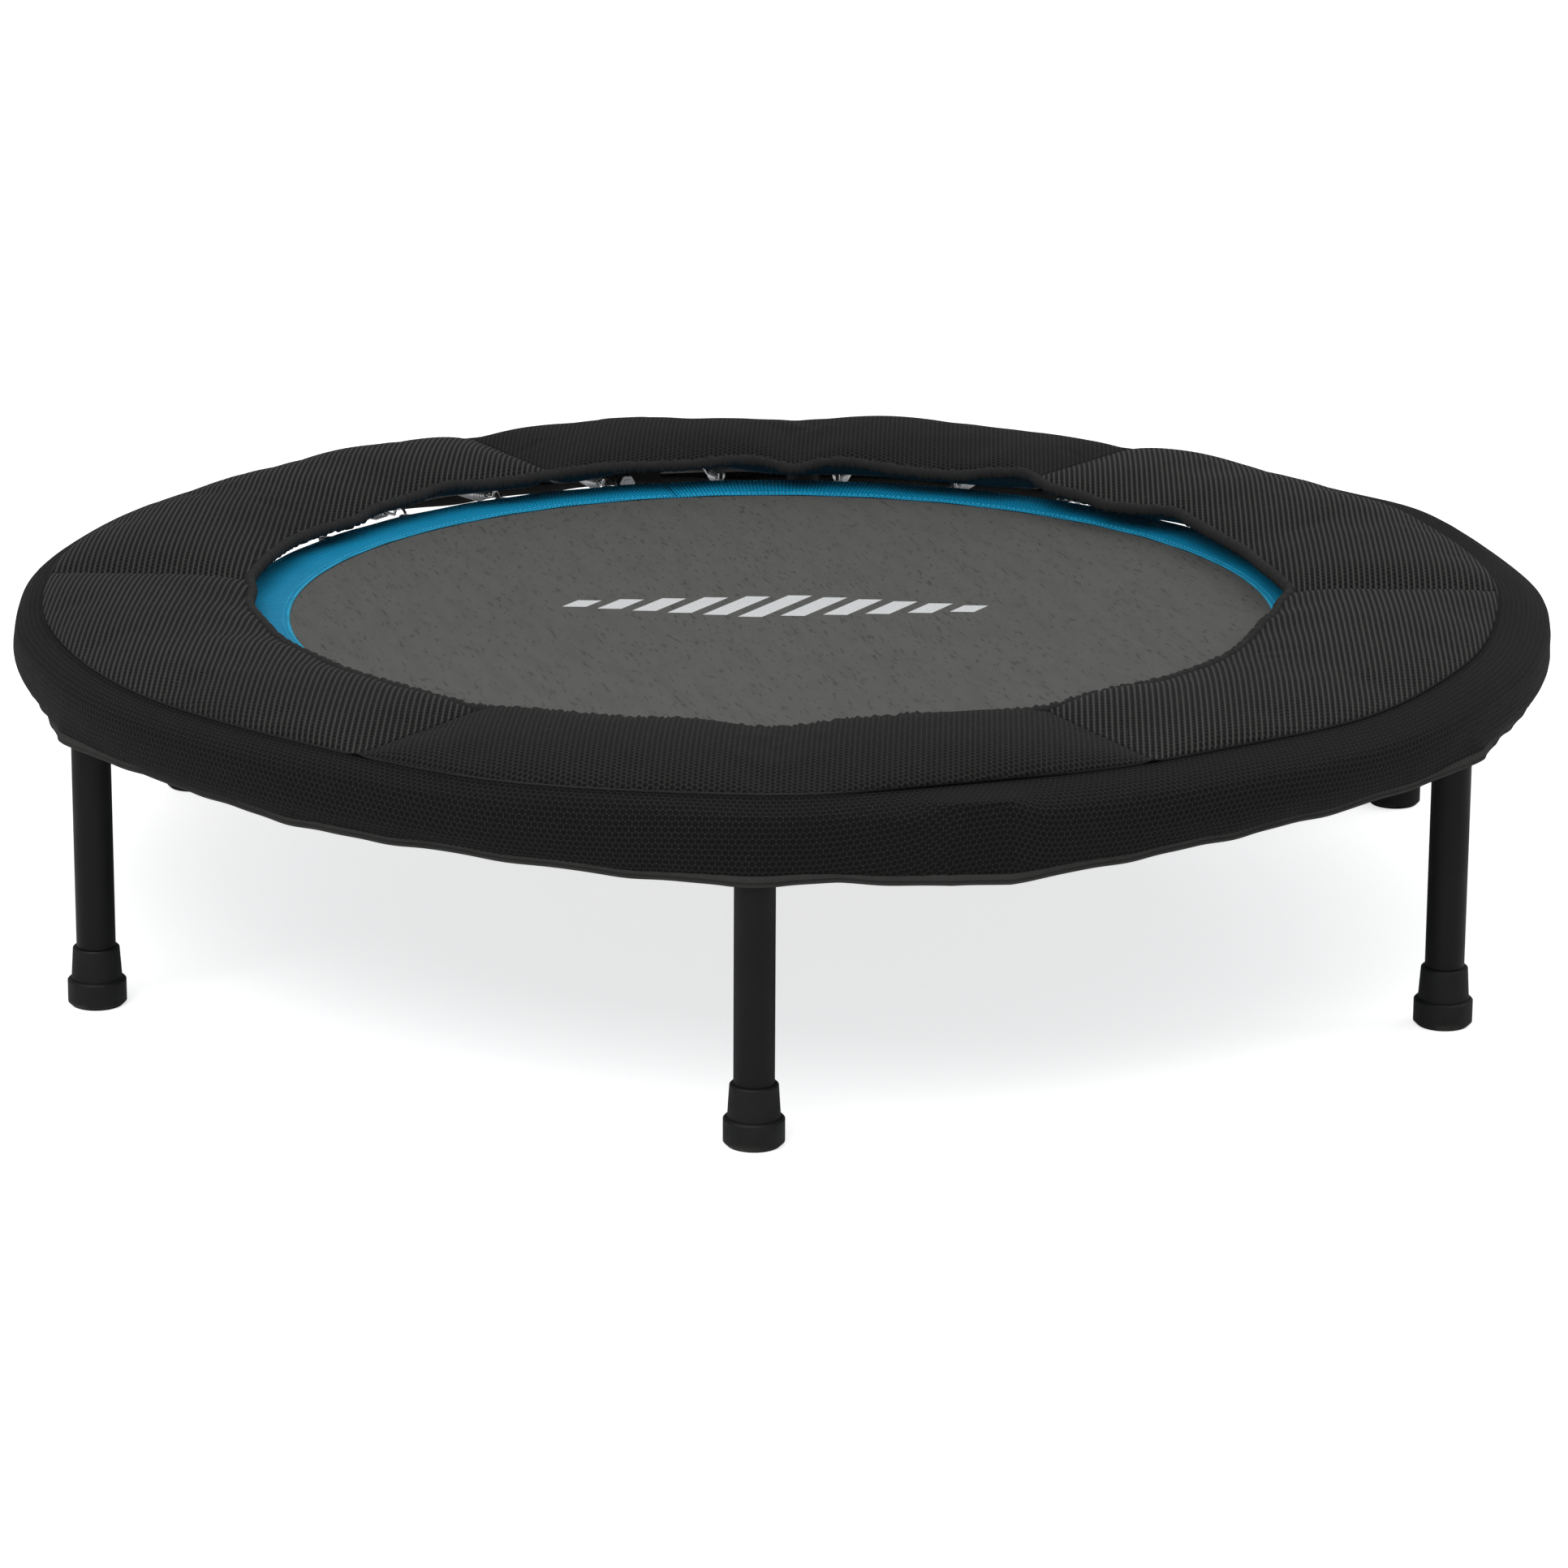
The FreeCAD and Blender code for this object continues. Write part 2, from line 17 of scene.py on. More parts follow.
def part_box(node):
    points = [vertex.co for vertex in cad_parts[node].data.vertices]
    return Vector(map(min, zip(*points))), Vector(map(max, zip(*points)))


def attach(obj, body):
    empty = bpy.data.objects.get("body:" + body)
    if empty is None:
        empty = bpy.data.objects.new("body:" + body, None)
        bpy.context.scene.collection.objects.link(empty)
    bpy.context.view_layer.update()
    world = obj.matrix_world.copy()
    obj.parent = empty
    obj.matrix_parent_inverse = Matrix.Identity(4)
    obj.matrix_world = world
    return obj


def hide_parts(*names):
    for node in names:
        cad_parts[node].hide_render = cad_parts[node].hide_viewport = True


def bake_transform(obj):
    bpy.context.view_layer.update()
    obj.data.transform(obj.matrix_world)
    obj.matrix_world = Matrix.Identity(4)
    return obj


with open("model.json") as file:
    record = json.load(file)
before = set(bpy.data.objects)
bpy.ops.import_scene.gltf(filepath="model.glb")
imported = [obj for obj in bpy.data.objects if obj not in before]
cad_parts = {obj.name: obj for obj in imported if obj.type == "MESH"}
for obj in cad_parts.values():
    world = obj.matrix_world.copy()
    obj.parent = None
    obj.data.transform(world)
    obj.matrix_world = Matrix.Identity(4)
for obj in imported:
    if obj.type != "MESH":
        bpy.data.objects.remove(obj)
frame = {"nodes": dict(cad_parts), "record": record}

bl_info = {
    "name": "Mini trampoline",
    "version": (1, 0, 0),
    "blender": (4, 5, 0),
    "location": "3D View > Sidebar > Trampoline",
    "description": "Builds the cover, mat, springs and finishes of a folding mini trampoline round its frame",
    "category": "Object",
}

# places that the frame gives
MOUNTS = {m["name"]: m for m in frame["record"]["mounts"]}
RING_RADIUS = -MOUNTS["floor_rest"]["pos_m"][1]
RAIL_LOW, RAIL_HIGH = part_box("frame_rail_a")
RING_Z = (RAIL_LOW.z + RAIL_HIGH.z) / 2
TUBE_RADIUS = (RAIL_HIGH.z - RAIL_LOW.z) / 2
MAT_LOW, MAT_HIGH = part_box("mat_a")
BAND_LOW, BAND_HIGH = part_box("mat_band_a")
PAD_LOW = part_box("pad_right_rear")[0]
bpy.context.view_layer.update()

# azimuths of the hinges and legs, and where each panel, half of the cover and half of the mat starts
HINGES = (285.0, 105.0)
LEGS = tuple(270.0 + 60.0 * k for k in range(6))
PANEL_ARC = 60.0
PANEL_STARTS = {"right_rear": 0.0, "rear": 60.0, "left_rear": 120.0,
                "left_front": 180.0, "front": 240.0, "right_front": 300.0}
HALF_ARC = 180.0
ARCS = {"front": 195.0, "rear": 15.0}
HALVES = {"a": -75.0, "b": 105.0}

FULL_TURN = 2 * math.pi
MAT_RADIUS = 0.357
V_TIP_RADIUS = 0.380
RISE = np.array((0.0, 0.0, 1.0))


# ------------------------------------------------------------------ settings


def length(name, description, default):
    """A size that a user can change, in metres."""
    return bpy.props.FloatProperty(name=name, description=description, default=default, precision=4,
                                   subtype="DISTANCE", unit="LENGTH")


def share(name, description, default):
    """A plain number that a user can change."""
    return bpy.props.FloatProperty(name=name, description=description, default=default)


def count(name, description, default):
    """A whole number that a user can change."""
    return bpy.props.IntProperty(name=name, description=description, default=default, min=1)


def colour(name, description, default):
    """A colour that a user can change."""
    return bpy.props.FloatVectorProperty(name=name, description=description, default=default, size=3,
                                         subtype="COLOR", min=0.0, max=1.0)


class CoverSettings(bpy.types.PropertyGroup):
    """Sizes and colours of the padded cover and its skirt."""
    inner_radius: length("Inner radius", "Mean radius of the panels' bound inner edge", 0.343)
    lie: length("Lie", "How far the inner edge has slipped to one side of the ring", 0.0125)
    crown: length("Crown", "How far a panel's middle stands above its edges", 0.0100)
    crease: share("Crease", "How much of the crown is lost at a seam", 0.92)
    pressure: share("Pressure", "How hard the foam fills a panel's covering", 3.0)
    swell: length("Swell", "The most that filling may move the covering", 0.0045)
    pitch: length("Mesh pitch", "Distance between holes of the air mesh", 0.0042)
    # fabric colours the mesh's rib tops as painted highlight, and shade colours the grooves between them as
    # painted shade
    fabric: colour("Fabric", "Colour of the mesh's raised threads", (0.055, 0.055, 0.0527))
    shade: colour("Fabric shade", "Colour between the threads", (0.0025, 0.0025, 0.0024))
    tape: colour("Tape", "Colour of the binding tape", (0.044, 0.044, 0.042))
    fold_reach: length("Fold reach", "Distance from the fold line over which cloth bends", 0.05)


class MatSettings(bpy.types.PropertyGroup):
    """Sizes and colours of the mat and the webbing round it."""
    band_inner: length("Band inner radius", "Radius of the webbing's inner edge", 0.328)
    band_outer: length("Band outer radius", "Radius of the webbing's outer edge", BAND_HIGH.x)
    weave: length("Weave", "Width of one rib of the mat's twill", 0.0013)
    mat: colour("Mat", "Colour of the woven mat", (0.112, 0.113, 0.105))
    band: colour("Band", "Colour of the webbing", (0.004, 0.330, 0.610))
    thread: colour("Thread", "Colour of the webbing's stitches", (0.030, 0.460, 0.700))
    mark: colour("Mark", "Colour of the printed bars", (0.84, 0.86, 0.87))
    mark_width: length("Mark width", "Width of the printed row of bars", 0.285)
    mark_height: length("Mark height", "Height of the printed row of bars", 0.058)


class SpringSettings(bpy.types.PropertyGroup):
    """Sizes of the coil springs."""
    number: count("Springs", "Springs round the mat", 28)
    coil_radius: length("Coil radius", "Radius of a coil at the middle of its wire", 0.0054)
    wire: length("Wire", "Radius of the spring wire", 0.0011)
    start: length("Coil start", "Distance from the middle of the mat to the coil's start", 0.394)
    end: length("Coil end", "Distance from the middle of the mat to the coil's end", 0.471)
    steel: colour("Plating", "Colour of the plated wire", (0.78, 0.79, 0.80))


class FrameSettings(bpy.types.PropertyGroup):
    """Colours of the ring frame, hinges, legs and feet."""
    paint: colour("Paint", "Colour of the powder coat", (0.0040, 0.0042, 0.0040))
    zinc: colour("Zinc", "Colour of the plated bolts", (0.62, 0.63, 0.65))
    rubber: colour("Rubber", "Colour of the feet", (0.0058, 0.0063, 0.0061))


class StageSettings(bpy.types.PropertyGroup):
    """Floor, light and camera."""
    floor: length("Floor", "Width of the floor", 60.0)
    sky: share("Sky", "Strength of the light from all round", 0.34)
    key: share("Key light", "Power of the large light overhead", 52.0)
    lift: share("Floor lift", "Light that the floor adds to its own look, without lighting the object", 0.72)
    turn: share("Camera turn", "Camera's turn about the object, in degrees", 1.718)
    pitch: share("Camera pitch", "Degrees that the camera looks down", 16.313)
    roll: share("Camera roll", "Degrees that the camera leans", 0.325)
    lens: share("Lens", "Focal length on a 36 mm sensor, in millimetres", 142.1)


# ------------------------------------------------------------------ shader building blocks


def fill(tree, made, inputs):
    """Gives a node's inputs their values, or links them to sockets."""
    for key, value in inputs.items():
        if isinstance(value, bpy.types.NodeSocket):
            tree.links.new(value, made.inputs[key])
        else:
            made.inputs[key].default_value = value
    return made


def node(tree, kind, inputs=None, **settings):
    """Adds a node, sets its properties, and fills or links its inputs."""
    made = tree.nodes.new(kind)
    for name, value in settings.items():
        setattr(made, name, value)
    return fill(tree, made, inputs or {})


def calc(tree, operation, *values):
    """The result of a Math node."""
    return node(tree, "ShaderNodeMath", dict(enumerate(values)), operation=operation).outputs[0]


def ripple(tree, value):
    """A sine of a value, carried to the range 0 to 1."""
    return calc(tree, "MULTIPLY_ADD", calc(tree, "SINE", value), 0.5, 0.5)


def vector(tree, operation, *values):
    """The result of a Vector Math node that gives a vector."""
    return node(tree, "ShaderNodeVectorMath", dict(enumerate(values)), operation=operation).outputs[0]


def apart(tree, place):
    """The x, y and z of a vector."""
    return node(tree, "ShaderNodeSeparateXYZ", {0: place}).outputs


def ramp(tree, value, low, high, start=0.0, end=1.0):
    """A value carried smoothly from one range to another."""
    inputs = {"Value": value, "From Min": low, "From Max": high, "To Min": start, "To Max": end}
    return node(tree, "ShaderNodeMapRange", inputs, interpolation_type="SMOOTHSTEP").outputs[0]


def mix(tree, factor, first, second):
    """Two colours mixed."""
    made = tree.nodes.new("ShaderNodeMix")
    made.data_type = "RGBA"
    return fill(tree, made, {0: factor, 6: first, 7: second}).outputs[2]


def noise(tree, place, scale, detail):
    """A noise texture's value."""
    inputs = {"Vector": place, "Scale": scale, "Detail": detail}
    return node(tree, "ShaderNodeTexNoise", inputs).outputs["Fac"]


def effect(name, inputs, outputs):
    """A new shader node group, with its input and output nodes. Inputs are (name, kind, default)."""
    tree = bpy.data.node_groups.new(name, "ShaderNodeTree")
    for label, kind, default in inputs:
        socket = tree.interface.new_socket(label, in_out="INPUT", socket_type=kind)
        if default is not None:
            socket.default_value = default
    for label in outputs:
        tree.interface.new_socket(label, in_out="OUTPUT", socket_type="NodeSocketFloat")
    return tree, tree.nodes.new("NodeGroupInput"), tree.nodes.new("NodeGroupOutput")


def air_mesh_effect():
    """Knitted air mesh: rows of holes between raised ribs that run along the second coordinate."""
    tree, given, result = effect("air_mesh", [
        ("Vector", "NodeSocketVector", None), ("Pitch", "NodeSocketFloat", 0.0039),
        ("Hole", "NodeSocketFloat", 0.26), ("Rib", "NodeSocketFloat", 1.0)], ["Holes", "Ribs", "Height"])
    across, along = math.sqrt(3.0) / 2, 0.5
    hole_edge, yarn_scale, yarn_height = 0.14, 4.5, 0.5
    flat = vector(tree, "MULTIPLY", given.outputs["Vector"], (1.0, 1.0, 0.0))
    inverse = calc(tree, "DIVIDE", 1.0, given.outputs["Pitch"])
    scaled = node(tree, "ShaderNodeVectorMath", {0: flat, "Scale": inverse}, operation="SCALE").outputs[0]
    high, low = (across, along, 1.0), (-across, -along, -1.0)
    rows = (scaled, vector(tree, "ADD", scaled, (across, along, 0.0)))
    wrapped = [vector(tree, "WRAP", row, high, low) for row in rows]
    reach = [node(tree, "ShaderNodeVectorMath", {0: v}, operation="LENGTH").outputs["Value"] for v in wrapped]
    edge = calc(tree, "ADD", given.outputs["Hole"], hole_edge)
    outside = ramp(tree, calc(tree, "MINIMUM", *reach), given.outputs["Hole"], edge)
    holes = calc(tree, "SUBTRACT", 1.0, outside)
    x = apart(tree, scaled)[0]
    wavy = calc(tree, "COSINE", calc(tree, "MULTIPLY", x, FULL_TURN / across))
    ribs = calc(tree, "MULTIPLY", calc(tree, "MULTIPLY_ADD", wavy, -0.5, 0.5), given.outputs["Rib"])
    yarn = calc(tree, "MULTIPLY", noise(tree, scaled, yarn_scale, 3.0), yarn_height)
    height = calc(tree, "ADD", calc(tree, "SUBTRACT", ribs, holes), yarn)
    fill(tree, result, {"Holes": holes, "Ribs": ribs, "Height": height})
    return tree


def twill_effect():
    """Twill: slanting ribs crossed by the threads that make them."""
    tree, given, result = effect("twill", [
        ("Vector", "NodeSocketVector", None), ("Width", "NodeSocketFloat", 0.0013),
        ("Slant", "NodeSocketFloat", 1.0)], ["Ribs", "Height"])
    thread_share, thread_height = 1.35, 0.5
    x, y, _ = apart(tree, given.outputs["Vector"])
    turn = calc(tree, "DIVIDE", FULL_TURN, given.outputs["Width"])
    leaning = calc(tree, "ADD", x, calc(tree, "MULTIPLY", y, given.outputs["Slant"]))
    ribs = ripple(tree, calc(tree, "MULTIPLY", leaning, turn))
    threads = ripple(tree, calc(tree, "MULTIPLY", y, calc(tree, "MULTIPLY", turn, thread_share)))
    height = calc(tree, "ADD", ribs, calc(tree, "MULTIPLY", threads, thread_height))
    fill(tree, result, {"Ribs": ribs, "Height": height})
    return tree


def grain_effect():
    """Fine grain over slow patches, for paint, rubber and cloth."""
    tree, given, result = effect("grain", [
        ("Vector", "NodeSocketVector", None), ("Fine", "NodeSocketFloat", 900.0),
        ("Slow", "NodeSocketFloat", 7.0)], ["Fine", "Slow"])
    place = given.outputs["Vector"]
    fill(tree, result, {"Fine": noise(tree, place, given.outputs["Fine"], 2.0),
                        "Slow": noise(tree, place, given.outputs["Slow"], 4.0)})
    return tree


def placed(tree, name, make, inputs):
    """The outputs of an effect placed in a material. The effect is made the first time it is asked for."""
    made = tree.nodes.new("ShaderNodeGroup")
    made.node_tree = bpy.data.node_groups.get(name) or make()
    return fill(tree, made, inputs).outputs


def grained(tree, place, fine, slow):
    """The grain effect, with the scales of its fine and its slow noise."""
    return placed(tree, "grain", grain_effect, {"Vector": place, "Fine": fine, "Slow": slow})


def twilled(tree, place, width, slant):
    """The twill effect, with the width and the lean of its ribs."""
    return placed(tree, "twill", twill_effect, {"Vector": place, "Width": width, "Slant": slant})


def new_material(name):
    """A material with a Principled shader, its tree, that shader, and the Object coordinates."""
    material = bpy.data.materials.new(name)
    material.use_nodes = True
    tree = material.node_tree
    shader = next(n for n in tree.nodes if n.type == "BSDF_PRINCIPLED")
    return material, tree, shader, node(tree, "ShaderNodeTexCoord").outputs["Object"]


def own_uv(tree):
    """The piece's own UV map, in metres along and across the cloth."""
    return node(tree, "ShaderNodeUVMap", uv_map="UVMap").outputs[0]


def bumped(tree, shader, height, distance):
    """Gives the shader a surface relief from a height."""
    bump = node(tree, "ShaderNodeBump", {"Height": height, "Distance": distance})
    fill(tree, shader, {"Normal": bump.outputs["Normal"]})


def solid(colour_value, share=1.0):
    """A colour made darker or lighter, with full alpha."""
    return (*(c * share for c in colour_value[:3]), 1.0)


# ------------------------------------------------------------------ materials


def mesh_fabric(name, source, hole, rib, relief, light, scale=1.0):
    """Black air mesh, with painted highlight on its rib tops, painted shade in its grooves and holes, and
    painted glints. Its source is "Object" for the panels, or "UV" where the cloth runs round the ring.
    """
    cover = bpy.context.scene.tramp_cover
    material, tree, shader, place = new_material(name)
    where = place if source == "Object" else own_uv(tree)
    knit = placed(tree, "air_mesh", air_mesh_effect,
                  {"Vector": where, "Pitch": cover.pitch * scale, "Hole": hole, "Rib": rib})
    grain = grained(tree, place, 1400.0, 6.0)
    # painted highlight on the rib tops, fading to painted shade in the grooves between them
    bright = solid(cover.fabric, light)
    least = 0.55 * (1.0 - rib)
    lit = calc(tree, "MULTIPLY_ADD", calc(tree, "POWER", knit["Ribs"], 2.2), 1.0 - least, least)
    threads = mix(tree, lit, solid(cover.shade), bright)
    patches = ramp(tree, grain["Slow"], 0.35, 0.75, 0.0, 0.35)
    # painted glints: fine specks at nearly twice the highlight colour, over random darker patches
    painted_glints = ramp(tree, grain["Fine"], 0.58, 0.74, 0.0, 0.7)
    patches_and_painted_glints = mix(tree, painted_glints, mix(tree, patches, threads, solid(cover.shade)), solid(bright, 1.9))
    # painted shade: the holes of the mesh are coloured near black
    painted_hole_shade = calc(tree, "MULTIPLY", knit["Holes"], 0.96)
    fill(tree, shader, {"Base Color": mix(tree, painted_hole_shade, patches_and_painted_glints, (0.001, 0.001, 0.001, 1.0)),
                        "Roughness": ramp(tree, knit["Ribs"], 0.0, 1.0, 0.85, 0.62),
                        "Specular IOR Level": 0.22, "Sheen Weight": 0.02, "Sheen Roughness": 0.4})
    bumped(tree, shader, knit["Height"], relief)
    return material


def tape_material():
    """Folded edge tape: fine diagonal weave."""
    tape = bpy.context.scene.tramp_cover.tape
    material, tree, shader, place = new_material("binding_tape")
    twill = twilled(tree, own_uv(tree), 0.0011, 0.8)
    grain = grained(tree, place, 1500.0, 20.0)
    base = mix(tree, twill["Ribs"], solid(tape, 0.55), solid(tape, 1.5))
    fuzz = ramp(tree, grain["Fine"], 0.62, 0.8, 0.0, 0.6)
    fill(tree, shader, {"Base Color": mix(tree, fuzz, base, (0.07, 0.07, 0.07, 1.0)),
                        "Roughness": ramp(tree, grain["Slow"], 0.3, 0.7, 0.72, 0.88),
                        "Specular IOR Level": 0.25})
    bumped(tree, shader, twill["Height"], 0.0003)
    return material


def underside_material():
    """Coated cloth under the panels."""
    material, tree, shader, place = new_material("panel_underside")
    twill = twilled(tree, place, 0.0016, 0.0)
    grain = grained(tree, place, 700.0, 9.0)
    dark, pale = (0.010, 0.010, 0.0105, 1.0), (0.024, 0.024, 0.025, 1.0)
    fill(tree, shader, {"Base Color": mix(tree, grain["Slow"], dark, pale),
                        "Roughness": ramp(tree, grain["Slow"], 0.3, 0.7, 0.5, 0.62)})
    bumped(tree, shader, twill["Height"], 0.00018)
    return material


def bars_mask(tree, place, width, height):
    """A row of slanting bars across the mat's middle, tallest in the middle."""
    bars, lean, forward, bar_share, shrink = 11, 0.55, 0.015, 0.62, 0.07
    x, y, _ = apart(tree, place)
    lifted = calc(tree, "SUBTRACT", y, forward)
    slanted = calc(tree, "SUBTRACT", x, calc(tree, "MULTIPLY", lifted, lean))
    cell = calc(tree, "DIVIDE", slanted, width / bars)
    bar = calc(tree, "LESS_THAN", calc(tree, "FRACT", calc(tree, "ADD", cell, 0.5)), bar_share)
    inside = calc(tree, "LESS_THAN", calc(tree, "ABSOLUTE", slanted), width / 2)
    away = calc(tree, "ABSOLUTE", calc(tree, "ROUND", cell))
    half_height = calc(tree, "MULTIPLY_ADD", away, -height * shrink, height / 2)
    tall = calc(tree, "LESS_THAN", calc(tree, "ABSOLUTE", lifted), half_height)
    return calc(tree, "MULTIPLY", calc(tree, "MULTIPLY", bar, inside), tall)


def mat_material():
    """Woven mat with a plain row of printed bars."""
    settings = bpy.context.scene.tramp_mat
    material, tree, shader, place = new_material("mat_weave")
    twill = twilled(tree, place, settings.weave, 0.29)
    grain = grained(tree, place, 330.0, 3.0)
    base = mix(tree, twill["Ribs"], solid(settings.mat, 0.50), solid(settings.mat, 1.42))
    patches = ramp(tree, grain["Slow"], 0.3, 0.75, 0.0, 0.3)
    patchy = mix(tree, patches, base, solid(settings.mat, 0.7))
    drawn = node(tree, "ShaderNodeMapping", {"Vector": place, "Rotation": (0.0, 0.0, -1.29),
                                             "Scale": (5.0, 1.0, 1.0)}, vector_type="TEXTURE")
    slubs = grained(tree, drawn.outputs[0], 420.0, 90.0)
    streaks = ramp(tree, slubs["Slow"], 0.40, 0.66, 0.0, 0.30)
    flecks = ramp(tree, slubs["Fine"], 0.58, 0.70, 0.0, 0.7)
    flecked = mix(tree, flecks, mix(tree, streaks, patchy, solid(settings.mat, 0.6)), (0.03, 0.03, 0.028, 1.0))
    printed = calc(tree, "MULTIPLY", bars_mask(tree, place, settings.mark_width, settings.mark_height),
                   ramp(tree, twill["Ribs"], 0.0, 0.5, 0.8, 1.0))
    fill(tree, shader, {"Base Color": mix(tree, printed, flecked, solid(settings.mark)),
                        "Roughness": ramp(tree, twill["Ribs"], 0.0, 1.0, 0.75, 0.55)})
    bumped(tree, shader, twill["Height"], 0.00025)
    return material


def webbing_material():
    """Ribbed webbing: fine waving ribs across the band."""
    settings = bpy.context.scene.tramp_mat
    rib_width, wave_length = 0.0026, 0.0060
    material, tree, shader, place = new_material("band_webbing")
    x, y, _ = apart(tree, own_uv(tree))
    warp = calc(tree, "MULTIPLY", calc(tree, "SINE", calc(tree, "MULTIPLY", y, FULL_TURN / wave_length)), 0.8)
    ribs = ripple(tree, calc(tree, "ADD", calc(tree, "MULTIPLY", x, FULL_TURN / rib_width), warp))
    grain = grained(tree, place, 1100.0, 14.0)
    base = mix(tree, ribs, solid(settings.band, 0.42), solid(settings.band, 1.25))
    patches = ramp(tree, grain["Slow"], 0.35, 0.7, 0.0, 0.4)
    glints = ramp(tree, grain["Fine"], 0.66, 0.8, 0.0, 0.45)
    uneven = mix(tree, patches, base, solid(settings.band, 0.72))
    fill(tree, shader, {"Base Color": mix(tree, glints, uneven, solid(settings.thread)),
                        "Roughness": ramp(tree, ribs, 0.0, 1.0, 0.7, 0.42), "Specular IOR Level": 0.25})
    bumped(tree, shader, calc(tree, "ADD", ribs, calc(tree, "MULTIPLY", grain["Fine"], 0.4)), 0.0005)
    return material


def thread_material(name, thread_colour):
    """Twisted sewing thread."""
    material, tree, shader, place = new_material(name)
    grain = grained(tree, place, 2500.0, 60.0)
    bright = solid([min(1.0, c * 1.35) for c in thread_colour])
    fill(tree, shader, {"Base Color": mix(tree, grain["Fine"], solid(thread_colour, 0.6), bright),
                        "Roughness": ramp(tree, grain["Slow"], 0.3, 0.7, 0.5, 0.7)})
    return material


def painted_material():
    """Satin powder coat with a fine orange peel."""
    paint = bpy.context.scene.tramp_frame.paint
    material, tree, shader, place = new_material("frame_black")
    grain = grained(tree, place, 1300.0, 18.0)
    fill(tree, shader, {"Base Color": mix(tree, grain["Slow"], solid(paint, 0.8), solid(paint, 1.3)),
                        "Roughness": ramp(tree, grain["Slow"], 0.3, 0.7, 0.42, 0.55),
                        "Specular IOR Level": 0.22})
    bumped(tree, shader, grain["Fine"], 0.00006)
    return material


def metal_material(name, metal_colour, rough):
    """Bright plated steel, slightly clouded."""
    material, tree, shader, place = new_material(name)
    grain = grained(tree, place, 1800.0, 90.0)
    clouded = mix(tree, grain["Slow"], solid(metal_colour, 0.85), solid(metal_colour))
    fill(tree, shader, {"Base Color": clouded, "Metallic": 1.0,
                        "Roughness": ramp(tree, grain["Slow"], 0.3, 0.7, rough, rough + 0.14)})
    bumped(tree, shader, grain["Fine"], 0.00002)
    return material


def rubber_material():
    """Moulded rubber, dulled and slightly dusty where it meets the floor."""
    material, tree, shader, place = new_material("foot_rubber")
    dust_height = 0.006
    grain = grained(tree, place, 1000.0, 60.0)
    low = ramp(tree, apart(tree, place)[2], 0.0, dust_height, 1.0, 0.0)
    dusty = calc(tree, "MULTIPLY", low, ramp(tree, grain["Slow"], 0.4, 0.65, 0.0, 0.7))
    rubber, dust = solid(bpy.context.scene.tramp_frame.rubber), (0.075, 0.07, 0.062, 1.0)
    fill(tree, shader, {"Base Color": mix(tree, dusty, rubber, dust),
                        "Roughness": ramp(tree, grain["Slow"], 0.3, 0.7, 0.55, 0.68),
                        "Specular IOR Level": 0.30})
    bumped(tree, shader, grain["Fine"], 0.00008)
    return material


# ------------------------------------------------------------------ mesh building blocks


def half_way_round(start, columns):
    """Azimuths spread evenly over half the ring."""
    return np.linspace(start, start + HALF_ARC, columns)


def apart_from(azimuth, centre):
    """Degrees from a centre azimuth, negative before it."""
    return (np.asarray(azimuth) - centre + 180.0) % 360.0 - 180.0


def on_ring(radius, azimuth, z):
    """Points at radii, azimuths and heights, as an array with x, y and z last."""
    a = np.radians(azimuth)
    return np.stack(np.broadcast_arrays(radius * np.cos(a), radius * np.sin(a), z), axis=-1)


def quads(rows, columns, first=0):
    """Faces of a grid whose normal is the cross product of its row step and its column step."""
    j, i = np.meshgrid(np.arange(rows - 1), np.arange(columns - 1), indexing="ij")
    a = first + j * columns + i
    return np.stack([a, a + columns, a + columns + 1, a + 1], axis=-1).reshape(-1, 4).tolist()


def new_piece(name, points, faces, materials, uvs=None, smooth=True):
    """A mesh object at the origin. uvs gives one pair for each vertex."""
    mesh = bpy.data.meshes.new(name)
    mesh.from_pydata(np.asarray(points, float).reshape(-1, 3).tolist(), [], faces)
    if uvs is not None:
        layer = mesh.uv_layers.new(name="UVMap")
        corners = np.zeros(len(mesh.loops), int)
        mesh.loops.foreach_get("vertex_index", corners)
        layer.data.foreach_set("uv", np.asarray(uvs, np.float32).reshape(-1, 2)[corners].ravel())
    mesh.polygons.foreach_set("use_smooth", [smooth] * len(mesh.polygons))
    for material in materials:
        mesh.materials.append(material)
    mesh.validate()
    mesh.update()
    piece = bpy.data.objects.new(name, mesh)
    bpy.context.scene.collection.objects.link(piece)
    return piece


def settled(piece):
    """The piece with its modifiers turned into mesh."""
    bpy.context.view_layer.update()
    depsgraph = bpy.context.evaluated_depsgraph_get()
    mesh = bpy.data.meshes.new_from_object(piece.evaluated_get(depsgraph), preserve_all_data_layers=True,
                                           depsgraph=depsgraph)
    piece.modifiers.clear()
    old, piece.data = piece.data, mesh
    mesh.name = piece.name
    bpy.data.meshes.remove(old)
    return piece


def creased(piece, rim, corners):
    """Keeps a rim sharp, and its corners where they are, when the piece is subdivided."""
    chosen = np.zeros(len(piece.data.vertices), bool)
    chosen[rim] = True
    ends = np.zeros(len(piece.data.edges) * 2, int)
    piece.data.edges.foreach_get("vertices", ends)
    sharp = chosen[ends.reshape(-1, 2)].all(axis=1).astype(np.float32)
    piece.data.attributes.new("crease_edge", "FLOAT", "EDGE").data.foreach_set("value", sharp)
    pinned = np.zeros(len(chosen), np.float32)
    pinned[corners] = 1.0
    piece.data.attributes.new("crease_vert", "FLOAT", "POINT").data.foreach_set("value", pinned)
    return piece


def rounded(piece, levels=1):
    """The piece after subdivision."""
    modifier = piece.modifiers.new("Subdivision", "SUBSURF")
    modifier.levels = modifier.render_levels = levels
    return settled(piece)


def thickened(piece, thickness):
    """The piece as a closed shell, grown to its inner side."""
    modifier = piece.modifiers.new("Solidify", "SOLIDIFY")
    modifier.thickness = thickness
    modifier.offset = -1.0
    return settled(piece)


